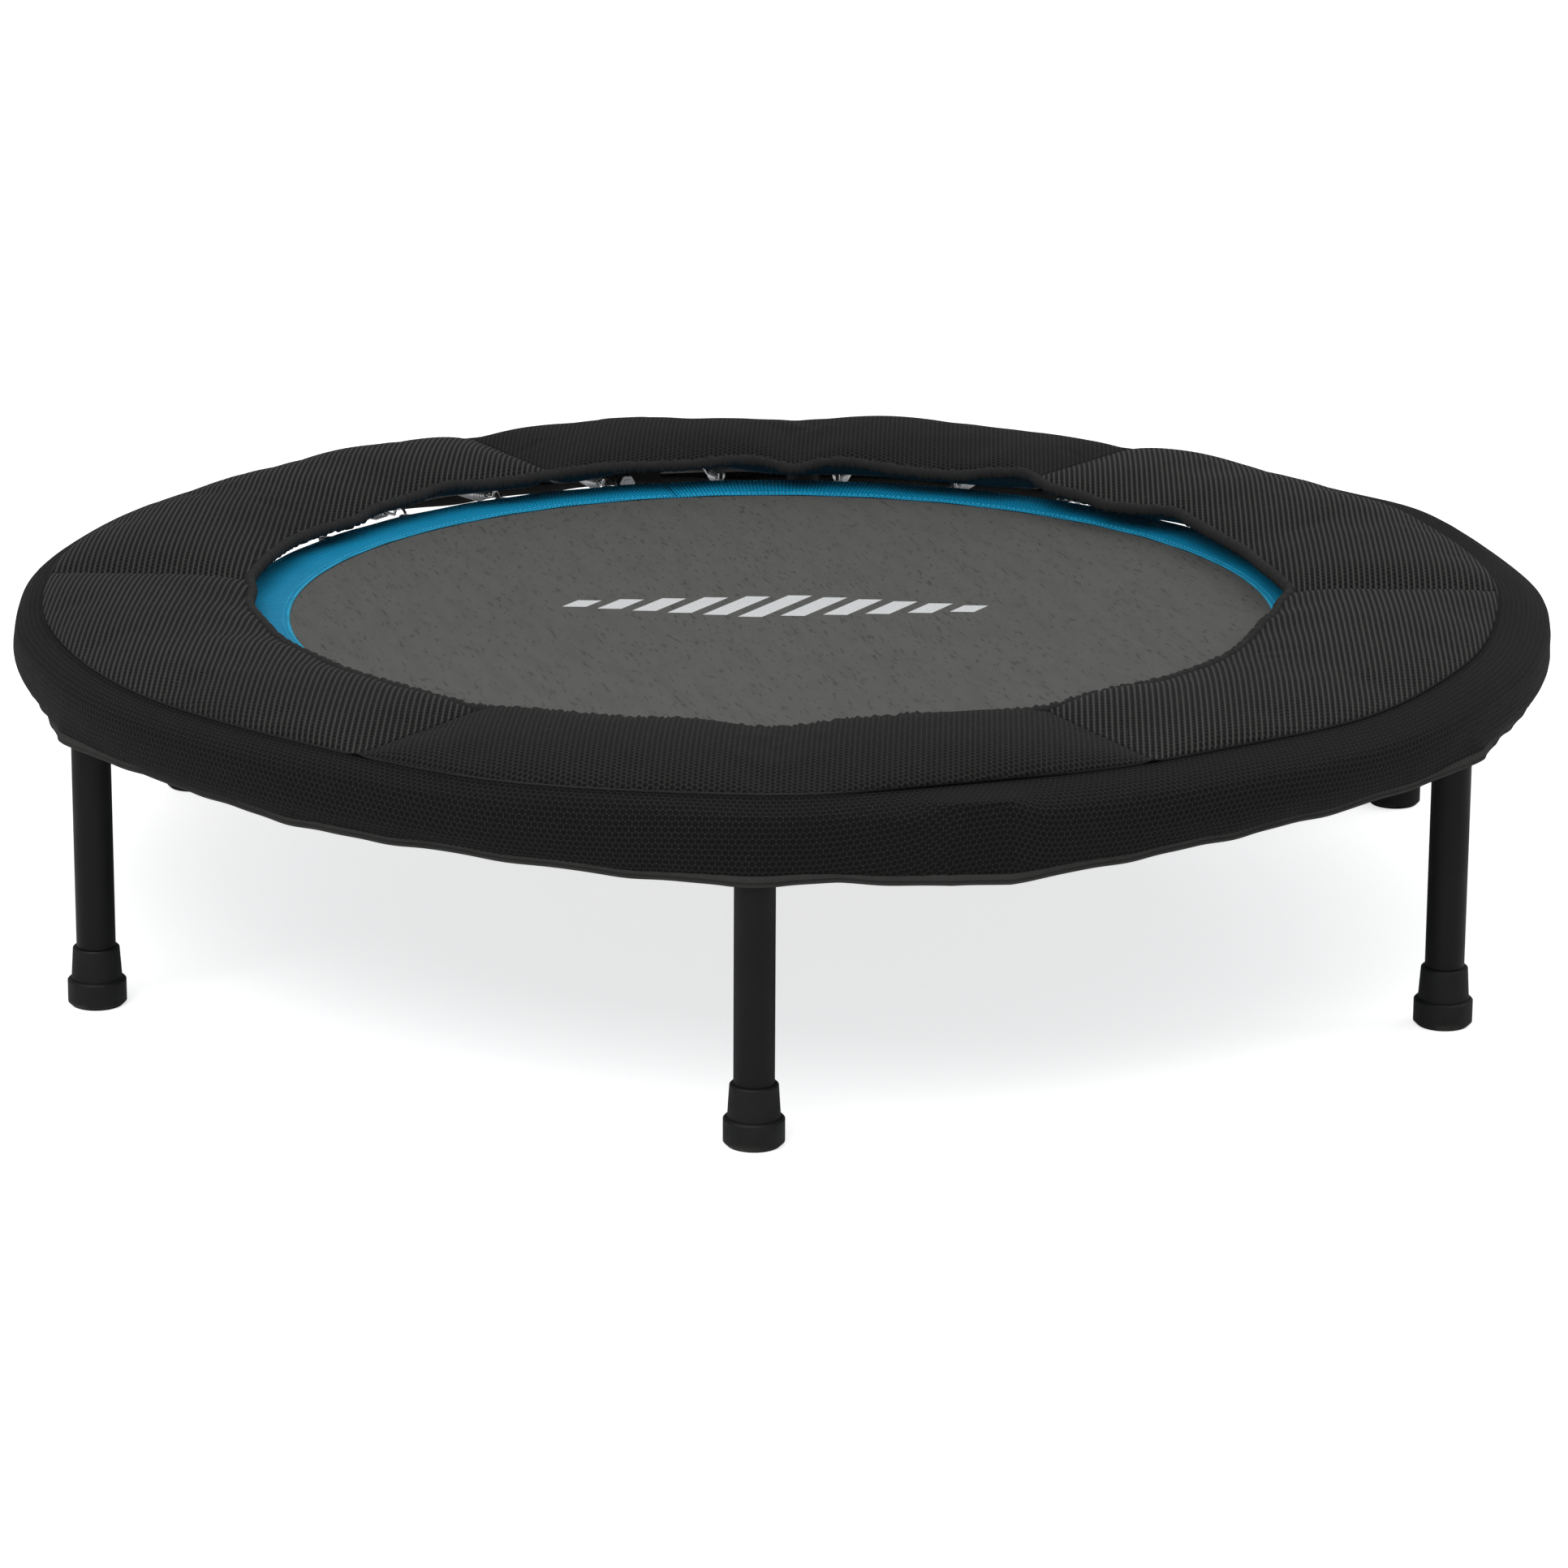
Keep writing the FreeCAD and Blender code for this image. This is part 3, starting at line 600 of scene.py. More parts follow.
def tube_faces(steps, sides):
    """Faces of a closed tube made of rings of points, with capped ends."""
    faces = []
    for first in range(0, (steps - 1) * sides, sides):
        for s in range(sides):
            t = (s + 1) % sides
            faces.append([first + s, first + t, first + sides + t, first + sides + s])
    faces.append(list(range(sides))[::-1])
    faces.append([(steps - 1) * sides + s for s in range(sides)])
    return faces


def welded(piece):
    """Merges doubled points and turns the faces outwards."""
    work = bmesh.new()
    work.from_mesh(piece.data)
    bmesh.ops.remove_doubles(work, verts=work.verts, dist=1e-6)
    bmesh.ops.recalc_face_normals(work, faces=work.faces)
    work.to_mesh(piece.data)
    work.free()
    return piece


def swept_loop(name, centres, offsets, materials, lengths):
    """A closed tube: a ring of offsets round each centre. Offsets are (centre, side, 3)."""
    steps, sides = offsets.shape[:2]
    points = centres[:, None, :] + offsets
    faces = tube_faces(steps, sides)
    girth = np.linalg.norm(np.diff(offsets[0], axis=0), axis=1).mean()
    uvs = np.stack(np.broadcast_arrays(lengths[:, None], np.arange(sides)[None] * girth), axis=-1)
    return new_piece(name, points, faces, materials, uvs)


def wire_mesh(path, radius, sides):
    """Points and faces of round wire along a path."""
    steps = np.gradient(path, axis=0)
    steps /= np.linalg.norm(steps, axis=1)[:, None]
    side = np.cross(steps[0], (0.0, 0.0, 1.0))
    frames = []
    for step in steps:
        side = side - step * (side @ step)
        side /= np.linalg.norm(side)
        frames.append((side, np.cross(step, side)))
    turn = np.linspace(0, FULL_TURN, sides, endpoint=False)
    rings = [point + radius * (np.outer(np.cos(turn), a) + np.outer(np.sin(turn), b))
             for point, (a, b) in zip(path, frames)]
    return np.concatenate(rings), tube_faces(len(path), sides)


def bend_over_fold(piece):
    """Bakes the placement of a piece that crosses the fold line into its mesh; the piece is not bent there."""
    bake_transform(piece)


def bell(azimuth, centre, width):
    """A smooth bump round a circle: 1 at the centre azimuth, falling away over a width in degrees."""
    return np.exp(-(apart_from(azimuth, centre) / width) ** 2)


def over_hinges(azimuth, width):
    """1 over each hinge, with steep flanks at a width in degrees, and 0 elsewhere."""
    return sum(np.exp(-(apart_from(azimuth, hinge) / width) ** 4) for hinge in HINGES)


def wave(azimuth, number, phase):
    """A wave that closes on itself round the ring."""
    return np.sin(np.radians(np.asarray(azimuth) * number + phase))


# ------------------------------------------------------------------ how the cover lies


# azimuths round the ring, and what the cover does at each: the seam's radius and height, the hem's height
LIE_AZIMUTHS = (2, 30, 60, 85, 105, 125, 150, 177, 205, 225, 240, 255, 270, 285, 299, 315, 340)
SEAM_RADII = (0.4735, 0.4790, 0.4800, 0.4850, 0.4830, 0.4830, 0.4870, 0.4900, 0.4890,
              0.4860, 0.4840, 0.4970, 0.4940, 0.4830, 0.4720, 0.4800, 0.4760)
SEAM_HEIGHTS = (0.2200, 0.2190, 0.2165, 0.2185, 0.2180, 0.2185, 0.2190, 0.2195, 0.2190,
                0.2185, 0.2180, 0.2180, 0.2185, 0.2190, 0.2190, 0.2185, 0.2195)
HEM_HEIGHTS = (0.1740, 0.1790, 0.1700, 0.1670, 0.1665, 0.1690, 0.1760, 0.1775, 0.1770,
               0.1760, 0.1740, 0.1712, 0.1690, 0.1682, 0.1708, 0.1745, 0.1775)

# places where the inner edge is kinked: azimuth, width in degrees, shift outwards and lift in metres
EDGE_FOLDS = ((62.0, 3.5, 0.009, 0.0050), (66.5, 2.2, -0.003, 0.0030), (90.5, 2.6, -0.003, -0.0042),
              (84.0, 4.0, 0.001, 0.0018), (97.0, 4.0, 0.001, 0.0018), (134.0, 4.0, 0.005, 0.0030),
              (150.0, 3.0, -0.003, -0.0015), (262.0, 4.0, -0.006, 0.0), (272.0, 5.0, 0.005, -0.0010),
              (38.0, 4.0, 0.005, 0.0025), (48.0, 2.5, -0.003, -0.0010), (286.0, 3.0, -0.003, 0.001),
              (240.0, 3.0, 0.003, 0.0), (300.0, 3.0, 0.003, 0.0), (0.0, 3.5, 0.005, 0.0),
              (180.0, 3.5, 0.003, 0.0), (346.0, 4.0, -0.002, 0.002))

# cloth over the tube, the hinges and the legs: radii, and half angles of the flat fronts in degrees
CLOTH_GAP = 0.0016
SKIRT_REST = RING_RADIUS + TUBE_RADIUS + 0.0022
SKIRT_HINGE_RADIUS = 0.5195
HEM_REST = 0.5000
HEM_LEG_RADIUS = 0.5105
HEM_HINGE_RADIUS = 0.5175
LEG_FRONT = 1.6
HINGE_FRONT = 2.0


def along_ring(azimuth, values):
    """Values given at LIE_AZIMUTHS, carried smoothly round the ring."""
    around = [np.asarray(azimuth) + step for step in (-6, -3, 0, 3, 6)]
    return sum(np.interp(a, LIE_AZIMUTHS, values, period=360.0) for a in around) / len(around)


def inner_edge(azimuth):
    """Radius and height of the panels' inner edge: it wanders, lifts and dips."""
    cover = bpy.context.scene.tramp_cover
    slipped_to, edge_height, rear_lift = 190.0, 0.0092, 0.0036
    radius = cover.inner_radius + cover.lie * np.cos(np.radians(azimuth - slipped_to))
    radius = radius + 0.0016 * wave(azimuth, 5, 40) + 0.0012 * wave(azimuth, 11, 75)
    radius = radius + 0.0009 * wave(azimuth, 23, 10)
    height = PAD_LOW.z + edge_height + 0.0010 * wave(azimuth, 4, 10) + 0.0009 * wave(azimuth, 13, 30)
    height = height + rear_lift * bell(azimuth, 90.0, 55.0)
    for centre, width, outward, lift in EDGE_FOLDS:
        radius = radius + outward * bell(azimuth, centre, width)
        height = height + lift * bell(azimuth, centre, width)
    return radius, height


def outer_seam(azimuth):
    """Radius and height of the seam between the panels and the skirt."""
    radius = along_ring(azimuth, SEAM_RADII) + 0.0010 * wave(azimuth, 9, 15) + 0.0006 * wave(azimuth, 17, 65)
    height = along_ring(azimuth, SEAM_HEIGHTS) + 0.0006 * wave(azimuth, 14, 60)
    return radius, height


def stretched_over(azimuth, centres, half_angle, corner, rest):
    """Radius of cloth pulled straight over flat-fronted parts that stand out past its resting radius."""
    lean = np.degrees(np.arccos(rest / corner))
    radius = rest
    for centre in centres:
        away = np.abs(apart_from(azimuth, centre))
        front = corner * math.cos(math.radians(half_angle)) / np.cos(np.radians(np.minimum(away, half_angle)))
        side = rest / np.cos(np.radians(np.clip(half_angle + lean - away, 0.0, lean)))
        radius = np.maximum(radius, np.where(away < half_angle, front, side))
    return radius


def hem_line(azimuth):
    """Radius and height of the skirt's hem: drawn in under the ring, and out at the legs and hinges."""
    rest = HEM_REST + 0.0009 * wave(azimuth, 17, 20)
    radius = stretched_over(azimuth, LEGS, LEG_FRONT, HEM_LEG_RADIUS, rest)
    radius = np.maximum(radius, stretched_over(azimuth, HINGES, HINGE_FRONT, HEM_HINGE_RADIUS, rest))
    height = along_ring(azimuth, HEM_HEIGHTS) + 0.0008 * wave(azimuth, 13, 80) + 0.0006 * wave(azimuth, 41, 0)
    flick, flick_out, flick_up = bell(azimuth, 10.0, 6.0), 0.008, 0.010
    return radius + flick_out * flick, height + flick_up * flick


def skirt_point(azimuth, drop):
    """Radius and height on the skirt, drop being 0 at the seam and 1 at the hem."""
    seam_radius, seam_height = outer_seam(azimuth)
    hem_radius, hem_height = hem_line(azimuth)
    rest = SKIRT_REST + 0.0012 * wave(azimuth, 7, 33) + 0.0006 * wave(azimuth, 19, 5)
    full = stretched_over(azimuth, HINGES, HINGE_FRONT, SKIRT_HINGE_RADIUS, rest)
    sag = 0.0014 * bell(azimuth, 271.0, 5.0) + 0.0010 * bell(azimuth, 248.0, 6.0)
    sag = sag + 0.0010 * bell(azimuth, 320.0, 8.0)
    ridge = 0.0050 * bell(azimuth, 27.0, 9.0)
    hinge = over_hinges(azimuth, 3.6)
    shoulder = (seam_radius * 0.45 + full * 0.55) * (1 - hinge) + (full - 0.0020) * hinge
    shoulder_height = (seam_height - 0.0052 - 2 * sag + ridge) * (1 - hinge) + 0.2166 * hinge
    corners = [(seam_radius - 0.005, seam_height - 0.0006),
               (seam_radius + 0.001, seam_height - 0.0028 + 0.6 * ridge),
               (shoulder, shoulder_height),
               (full - 0.0016 - sag, 0.2075 + 0.0062 * hinge + 0.5 * ridge),
               (full, 0.1985 + 0.0030 * hinge),
               (full - 0.0006, 0.1890),
               (hem_radius * 0.45 + full * 0.55, hem_height + 0.0065),
               (hem_radius, hem_height)]
    spread, gather_start, gather_depth = 1.35, 0.45, 0.0016
    place = drop * (len(corners) - 1)
    radius, height, total = 0.0, 0.0, 0.0
    for k, (r, z) in enumerate(corners):
        near = np.clip(1.0 - np.abs(place - k) / spread, 0.0, 1.0) ** 2
        radius, height, total = radius + near * r, height + near * z, total + near
    radius, height = radius / total, height / total
    gather = np.clip(drop - gather_start, 0.0, 1.0) ** 1.5 * gather_depth
    radius = radius + gather * wave(azimuth, 83, 0) * (0.6 + 0.4 * wave(azimuth, 11, 0))
    away = np.hypot(radius - RING_RADIUS, height - RING_Z)
    push = np.maximum(1.0, (TUBE_RADIUS + CLOTH_GAP) / away)
    return RING_RADIUS + (radius - RING_RADIUS) * push, RING_Z + (height - RING_Z) * push


# ------------------------------------------------------------------ padded panels


# places where a panel's padding is pressed down: azimuth, width in degrees, depth in metres
PANEL_DIPS = ((91.0, 5.0, 0.0032), (273.0, 6.0, 0.0022), (262.0, 4.0, -0.0008), (20.0, 6.0, 0.0016),
              (155.0, 6.0, 0.0014), (205.0, 7.0, 0.0010), (330.0, 7.0, 0.0012), (291.0, 4.0, -0.0006))
PANEL_ROWS, PANEL_COLUMNS = 25, 85
FILL_FRAMES = 20


def panel_surface(start, rows, columns):
    """Upper and lower grids of one padded panel, which share their edges."""
    cover = bpy.context.scene.tramp_cover
    turn = np.linspace(0.0, 1.0, columns)
    turn = turn - 0.014 * np.sin(2 * FULL_TURN * turn)
    azimuth = (start + PANEL_ARC * turn)[None, :]
    across = np.linspace(0.0, 1.0, rows)
    across = (across - 0.03 * np.sin(2 * FULL_TURN * across))[:, None]
    inner_radius, inner_height = inner_edge(azimuth)
    seam_radius, seam_height = outer_seam(azimuth)
    radius = inner_radius + (seam_radius - inner_radius) * across
    base = inner_height + (seam_height - inner_height) * across
    to_seam = np.minimum(turn, 1 - turn)[None, :] * math.radians(PANEL_ARC) * radius
    puff = 1.0 - cover.crease * np.exp(-(to_seam / 0.020) ** 1.3)
    rim = np.minimum(np.minimum(across / 0.15, (1 - across) / 0.11), 1.0)
    crown = 0.5 * np.sqrt(1 - (1 - rim) ** 2) + 0.5 * (1.0 - np.abs(2 * across ** 0.9 - 1.0) ** 2.6)
    side = np.clip(to_seam / 0.03, 0.0, 1.0)
    lumps = side * 0.0010 * np.sin(azimuth * 0.21 + start) * np.sin(across * 5.0 + start)
    lumps = lumps + side * 0.0005 * np.sin(azimuth * 0.52 + start)
    dips = sum(depth * bell(azimuth, centre, width) for centre, width, depth in PANEL_DIPS)
    groove = 0.0014 * np.exp(-(to_seam / 0.006) ** 2)
    top = base + cover.crown * crown * puff + (lumps - dips - groove) * crown
    hollow = PAD_LOW.z - 0.0002 + 0.0064 * over_hinges(azimuth, 8.0)
    edge = np.minimum(across / 0.16, 1.0) * np.minimum((1 - across) / 0.16, 1.0)
    inset = edge * np.minimum(to_seam / 0.012, 1.0)
    settle = np.sqrt(np.clip(1 - (1 - inset) ** 2, 0, 1))
    bottom = (base - 0.0012 * np.sign(inset)) * (1 - settle) + hollow * settle
    bottom = np.where(inset <= 0, top, np.minimum(bottom, top - 0.001))
    return on_ring(radius, azimuth, top), on_ring(radius, azimuth, bottom)


def pillow(name, top, bottom, materials):
    """A closed form from two grids that share their border."""
    rows, columns = top.shape[:2]
    index = np.arange(rows * columns).reshape(rows, columns)
    under = index.copy()
    inside = (slice(1, -1), slice(1, -1))
    under[inside] = rows * columns + np.arange((rows - 2) * (columns - 2)).reshape(rows - 2, columns - 2)
    points = np.concatenate([top.reshape(-1, 3), bottom[inside].reshape(-1, 3)])
    upper = quads(rows, columns)
    lower = [[int(under.flat[k]) for k in reversed(face)] for face in upper]
    piece = new_piece(name, points, upper + lower, materials)
    piece.data.polygons.foreach_set("material_index", [0] * len(upper) + [1] * len(lower))
    rim = np.concatenate([index[0], index[-1], index[1:-1, 0], index[1:-1, -1]])
    return piece, index[inside].ravel(), rim, index[::rows - 1, ::columns - 1].ravel()


def filled(piece, loose):
    """Fills a panel by cloth simulation: its loose covering swells, its seams and underside stay."""
    cover = bpy.context.scene.tramp_cover
    scene = bpy.context.scene
    held = piece.vertex_groups.new(name="held")
    held.add(sorted(set(range(len(piece.data.vertices))) - set(loose.tolist())), 1.0, "REPLACE")
    cloth = piece.modifiers.new("Cloth", "CLOTH")
    cloth.settings.quality = 5
    cloth.settings.mass = 0.25
    cloth.settings.tension_stiffness = cloth.settings.compression_stiffness = 10.0
    cloth.settings.shear_stiffness = 4.0
    cloth.settings.bending_stiffness = 3.0
    cloth.settings.use_pressure = True
    cloth.settings.uniform_pressure_force = cover.pressure
    cloth.settings.shrink_min = -0.002
    cloth.settings.vertex_group_mass = "held"
    cloth.settings.effector_weights.gravity = 0.0
    cloth.point_cache.frame_start, cloth.point_cache.frame_end = 1, FILL_FRAMES
    before = np.zeros(len(piece.data.vertices) * 3)
    piece.data.vertices.foreach_get("co", before)
    for moment in range(1, FILL_FRAMES + 1):
        scene.frame_set(moment)
    result = piece.evaluated_get(bpy.context.evaluated_depsgraph_get()).to_mesh()
    after = np.zeros(len(before))
    result.vertices.foreach_get("co", after)
    piece.modifiers.clear()
    piece.vertex_groups.clear()
    scene.frame_set(1)
    shift = (after - before).reshape(-1, 3)
    far = np.linalg.norm(shift, axis=1)[:, None]
    shift *= np.minimum(1.0, cover.swell / np.maximum(far, 1e-9))
    piece.data.vertices.foreach_set("co", (before.reshape(-1, 3) + shift).ravel())
    piece.data.update()
    return piece


class TRAMP_OT_panels(bpy.types.Operator):
    """Builds the six padded panels and fills them with a cloth simulation"""
    bl_idname = "tramp.panels"
    bl_label = "Padded panels"

    def execute(self, context):
        ribbed = mesh_fabric("panel_mesh_ribbed", "Object", 0.20, 1.0, 0.0012, 1.0)
        plain = mesh_fabric("panel_mesh_plain", "Object", 0.32, 0.45, 0.0011, 0.92, 0.90)
        under = underside_material()
        for place, start in PANEL_STARTS.items():
            top, bottom = panel_surface(start, PANEL_ROWS, PANEL_COLUMNS)
            fabric = plain if place in ("front", "rear") else ribbed
            piece, loose, rim, corners = pillow("panel_" + place, top, bottom, [fabric, under])
            filled(piece, loose)
            rounded(creased(piece, rim, corners))
            if place in ("front", "rear"):
                bend_over_fold(piece)
                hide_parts("pad_" + place, "pad_%s_fold_before" % place, "pad_%s_fold_after" % place)
            else:
                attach(piece, "half_a" if place.startswith("right") else "half_b")
                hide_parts("pad_" + place)
        return {"FINISHED"}


# ------------------------------------------------------------------ skirt, hem and inner binding


class TRAMP_OT_skirt(bpy.types.Operator):
    """Builds the mesh skirt over the outside of the ring"""
    bl_idname = "tramp.skirt"
    bl_label = "Skirt"

    def execute(self, context):
        fabric = mesh_fabric("skirt_mesh", "UV", 0.36, 0.14, 0.0011, 0.68, 0.94)
        rows, columns, cloth_thickness = 22, 901, 0.0008
        for place, start in ARCS.items():
            azimuth = half_way_round(start, columns)[None, :]
            drop = np.linspace(0.0, 1.0, rows)[:, None]
            radius, height = skirt_point(azimuth, drop)
            points = on_ring(radius, azimuth, height)
            along = np.radians(azimuth) * (RING_RADIUS + TUBE_RADIUS) + 0 * drop
            steps = np.linalg.norm(np.diff(points, axis=0), axis=2)
            down = np.concatenate([np.zeros((1, columns)), np.cumsum(steps, axis=0)])
            uvs = np.stack([down, along], axis=-1)
            piece = new_piece("skirt_" + place, points, quads(rows, columns), [fabric], uvs)
            thickened(piece, cloth_thickness)
            bend_over_fold(piece)
            nodes = ("skirt_a", "skirt_fold_a") if place == "front" else ("skirt_b", "skirt_fold_b")
            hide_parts(*nodes)
        return {"FINISHED"}


def oval(azimuth, half_width, half_height):
    """Rings of offsets round a line that follows the ring, wide outwards and high upwards."""
    outward = on_ring(1.0, azimuth, 0.0)[:, None, :]
    turn = np.linspace(0, FULL_TURN, 12, endpoint=False)[None, :, None]
    return outward * (np.cos(turn) * half_width) + RISE * (np.sin(turn) * half_height)


class TRAMP_OT_hem(bpy.types.Operator):
    """Builds the tape that binds the skirt's hem"""
    bl_idname = "tramp.hem"
    bl_label = "Hem tape"

    def execute(self, context):
        tape = tape_material()
        half_height, half_width = 0.0036, 0.0013
        for place, start in ARCS.items():
            azimuth = half_way_round(start, 721)
            radius, height = skirt_point(azimuth, np.ones_like(azimuth))
            centres = on_ring(radius, azimuth, height)
            thick = half_width * (1 + 0.10 * wave(azimuth, 211, 0))[:, None, None]
            offsets = oval(azimuth, thick, half_height)
            lengths = np.radians(azimuth) * RING_RADIUS
            piece = swept_loop("hem_" + place, centres, offsets[:, ::-1], [tape], lengths)
            bend_over_fold(piece)
            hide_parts("skirt_hem_a" if place == "front" else "skirt_hem_b")
        return {"FINISHED"}


class TRAMP_OT_binding(bpy.types.Operator):
    """Builds the gathered binding along the panels' inner edge"""
    bl_idname = "tramp.binding"
    bl_label = "Inner binding"

    def execute(self, context):
        tape = bpy.data.materials.get("binding_tape") or tape_material()
        generator = np.random.default_rng(7)
        steps, stride, half_width, half_height = 1441, 9, 0.0034, 0.0041
        inner_radius = context.scene.tramp_cover.inner_radius
        for place, start in ARCS.items():
            azimuth = half_way_round(start, steps)
            radius, height = inner_edge(azimuth)
            centres = on_ring(radius - 0.0008, azimuth, height - 0.0012)
            fade = np.sin(np.pi * np.linspace(0, 1, steps)) ** 0.25
            knots = np.arange(0, steps, stride)
            jitter = np.interp(np.arange(steps), knots, generator.uniform(-40, 40, len(knots)))
            fine, coarse = wave(azimuth, 400, jitter * 6), wave(azimuth, 170, jitter * 3)
            pucker = (1 + fade * (0.15 * fine + 0.10 * coarse))[:, None, None]
            offsets = oval(azimuth, half_width, half_height) * pucker
            piece = swept_loop("inner_binding_" + place, centres, offsets[:, ::-1], [tape],
                               np.radians(azimuth) * inner_radius)
            bend_over_fold(piece)
            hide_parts("pad_binding_a" if place == "front" else "pad_binding_b")
        return {"FINISHED"}


# ------------------------------------------------------------------ stitches


def stitch_row_tree():
    """Geometry Nodes: short threads set along a line, each lying along it or turned across it."""
    tree = bpy.data.node_groups.new("stitch_row", "GeometryNodeTree")
    face = tree.interface
    face.new_socket("Geometry", in_out="INPUT", socket_type="NodeSocketGeometry")
    for label, default in (("Spacing", 0.004), ("Stitch Length", 0.003), ("Stitch Radius", 0.0004),
                           ("Turn", 0.0), ("Wander", 0.08)):
        face.new_socket(label, in_out="INPUT", socket_type="NodeSocketFloat").default_value = default
    face.new_socket("Seed", in_out="INPUT", socket_type="NodeSocketInt").default_value = 3
    face.new_socket("Material", in_out="INPUT", socket_type="NodeSocketMaterial")
    face.new_socket("Geometry", in_out="OUTPUT", socket_type="NodeSocketGeometry")
    given, result = tree.nodes.new("NodeGroupInput"), tree.nodes.new("NodeGroupOutput")
    value = given.outputs
    line = node(tree, "GeometryNodeMeshToCurve", {"Mesh": value["Geometry"]})
    spaced = node(tree, "GeometryNodeResampleCurve", {"Curve": line.outputs[0], "Length": value["Spacing"]},
                  mode="LENGTH")
    bead = node(tree, "GeometryNodeMeshIcoSphere", {"Radius": 1.0, "Subdivisions": 1})
    half = calc(tree, "MULTIPLY", value["Stitch Length"], 0.5)
    size = node(tree, "ShaderNodeCombineXYZ", {0: half, 1: value["Stitch Radius"], 2: value["Stitch Radius"]})
    tangent = node(tree, "GeometryNodeInputTangent").outputs[0]
    aim = node(tree, "FunctionNodeAlignRotationToVector", {"Vector": tangent}, axis="X")
    wander = node(tree, "FunctionNodeRandomValue", {"Seed": value["Seed"]}, data_type="FLOAT")
    wander.inputs[2].default_value = -1.0
    wander.inputs[3].default_value = 1.0
    swing = calc(tree, "MULTIPLY_ADD", wander.outputs[1], value["Wander"], value["Turn"])
    spin = node(tree, "FunctionNodeAxisAngleToRotation", {"Axis": (0.0, 0.0, 1.0), "Angle": swing})
    both = node(tree, "FunctionNodeRotateRotation",
                {"Rotation": aim.outputs[0], "Rotate By": spin.outputs[0]}, rotation_space="LOCAL")
    threads = node(tree, "GeometryNodeInstanceOnPoints",
                   {"Points": spaced.outputs[0], "Instance": bead.outputs[0],
                    "Rotation": both.outputs[0], "Scale": size.outputs[0]})
    real = node(tree, "GeometryNodeRealizeInstances", {0: threads.outputs[0]})
    coloured = node(tree, "GeometryNodeSetMaterial",
                    {"Geometry": real.outputs[0], "Material": value["Material"]})
    fill(tree, result, {0: coloured.outputs[0]})
    return tree


def stitched(name, path, material, spacing, long, thick, turn=0.0):
    """A row of stitches along a path of points."""
    mesh = bpy.data.meshes.new(name)
    mesh.from_pydata(path.tolist(), [(k, k + 1) for k in range(len(path) - 1)], [])
    piece = bpy.data.objects.new(name, mesh)
    bpy.context.scene.collection.objects.link(piece)
    tree = bpy.data.node_groups.get("stitch_row") or stitch_row_tree()
    modifier = piece.modifiers.new("Stitches", "NODES")
    modifier.node_group = tree
    named = {s.name: s.identifier for s in tree.interface.items_tree if s.in_out == "INPUT"}
    values = {"Spacing": spacing, "Stitch Length": long, "Stitch Radius": thick, "Turn": turn, "Wander": 0.08,
              "Seed": 3, "Material": material}
    for label, value in values.items():
        modifier[named[label]] = value
    settled(piece)
    piece.data.polygons.foreach_set("use_smooth", [True] * len(piece.data.polygons))
    return piece


class TRAMP_OT_cover_stitches(bpy.types.Operator):
    """Sews the rows of stitches along the cover's bindings"""
    bl_idname = "tramp.cover_stitches"
    bl_label = "Cover stitches"

    def execute(self, context):
        black = thread_material("black_thread", (0.030, 0.030, 0.031))
        spacing, long, thick = 0.0042, 0.0030, 0.00035
        for place, start in ARCS.items():
            azimuth = half_way_round(start, 721)
            radius, height = skirt_point(azimuth, np.ones_like(azimuth))
            hem = on_ring(radius + 0.0013, azimuth, height + 0.0016)
            inner_radius, inner_height = inner_edge(azimuth)
            edge = on_ring(inner_radius + 0.0002, azimuth, inner_height + 0.0020)
            for name, path in (("hem_stitches_", hem), ("binding_stitches_", edge)):
                piece = stitched(name + place, path, black, spacing, long, thick)
                bend_over_fold(piece)
        return {"FINISHED"}


# ------------------------------------------------------------------ mat, band and springs


class TRAMP_OT_mat(bpy.types.Operator):
    """Builds the woven mat in two halves that meet at the fold line"""
    bl_idname = "tramp.mat"
    bl_label = "Mat"

    def execute(self, context):
        weave = mat_material()
        rows, columns, middle = 25, 121, 0.0004
        for half, start in HALVES.items():
            azimuth = half_way_round(start, columns)[None, :]
            across = np.linspace(0.0, 1.0, rows)[:, None]
            points = on_ring(np.maximum(across, middle) * MAT_RADIUS, azimuth, MAT_HIGH.z)
            piece = new_piece("mat_sheet_" + half, points, quads(rows, columns), [weave], smooth=False)
            thickened(piece, MAT_HIGH.z - MAT_LOW.z)
            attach(piece, "mat_" + half)
            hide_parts("mat_" + half)
        return {"FINISHED"}


def band_strip(start, profile, columns):
    """Grid and UV of a webbing layer, from (radius, height) pairs that go once round its section."""
    azimuth = half_way_round(start, columns)[None, :]
    radius = np.array([r for r, _ in profile])[:, None]
    height = np.array([z for _, z in profile])[:, None] + 0.0002 * wave(azimuth, 37, 0)
    points = on_ring(radius, azimuth, height)
    middle = (profile[0][0] + profile[len(profile) // 2][0]) / 2
    return points, np.stack([np.radians(azimuth) * middle + 0 * radius, radius + 0 * azimuth], axis=-1)


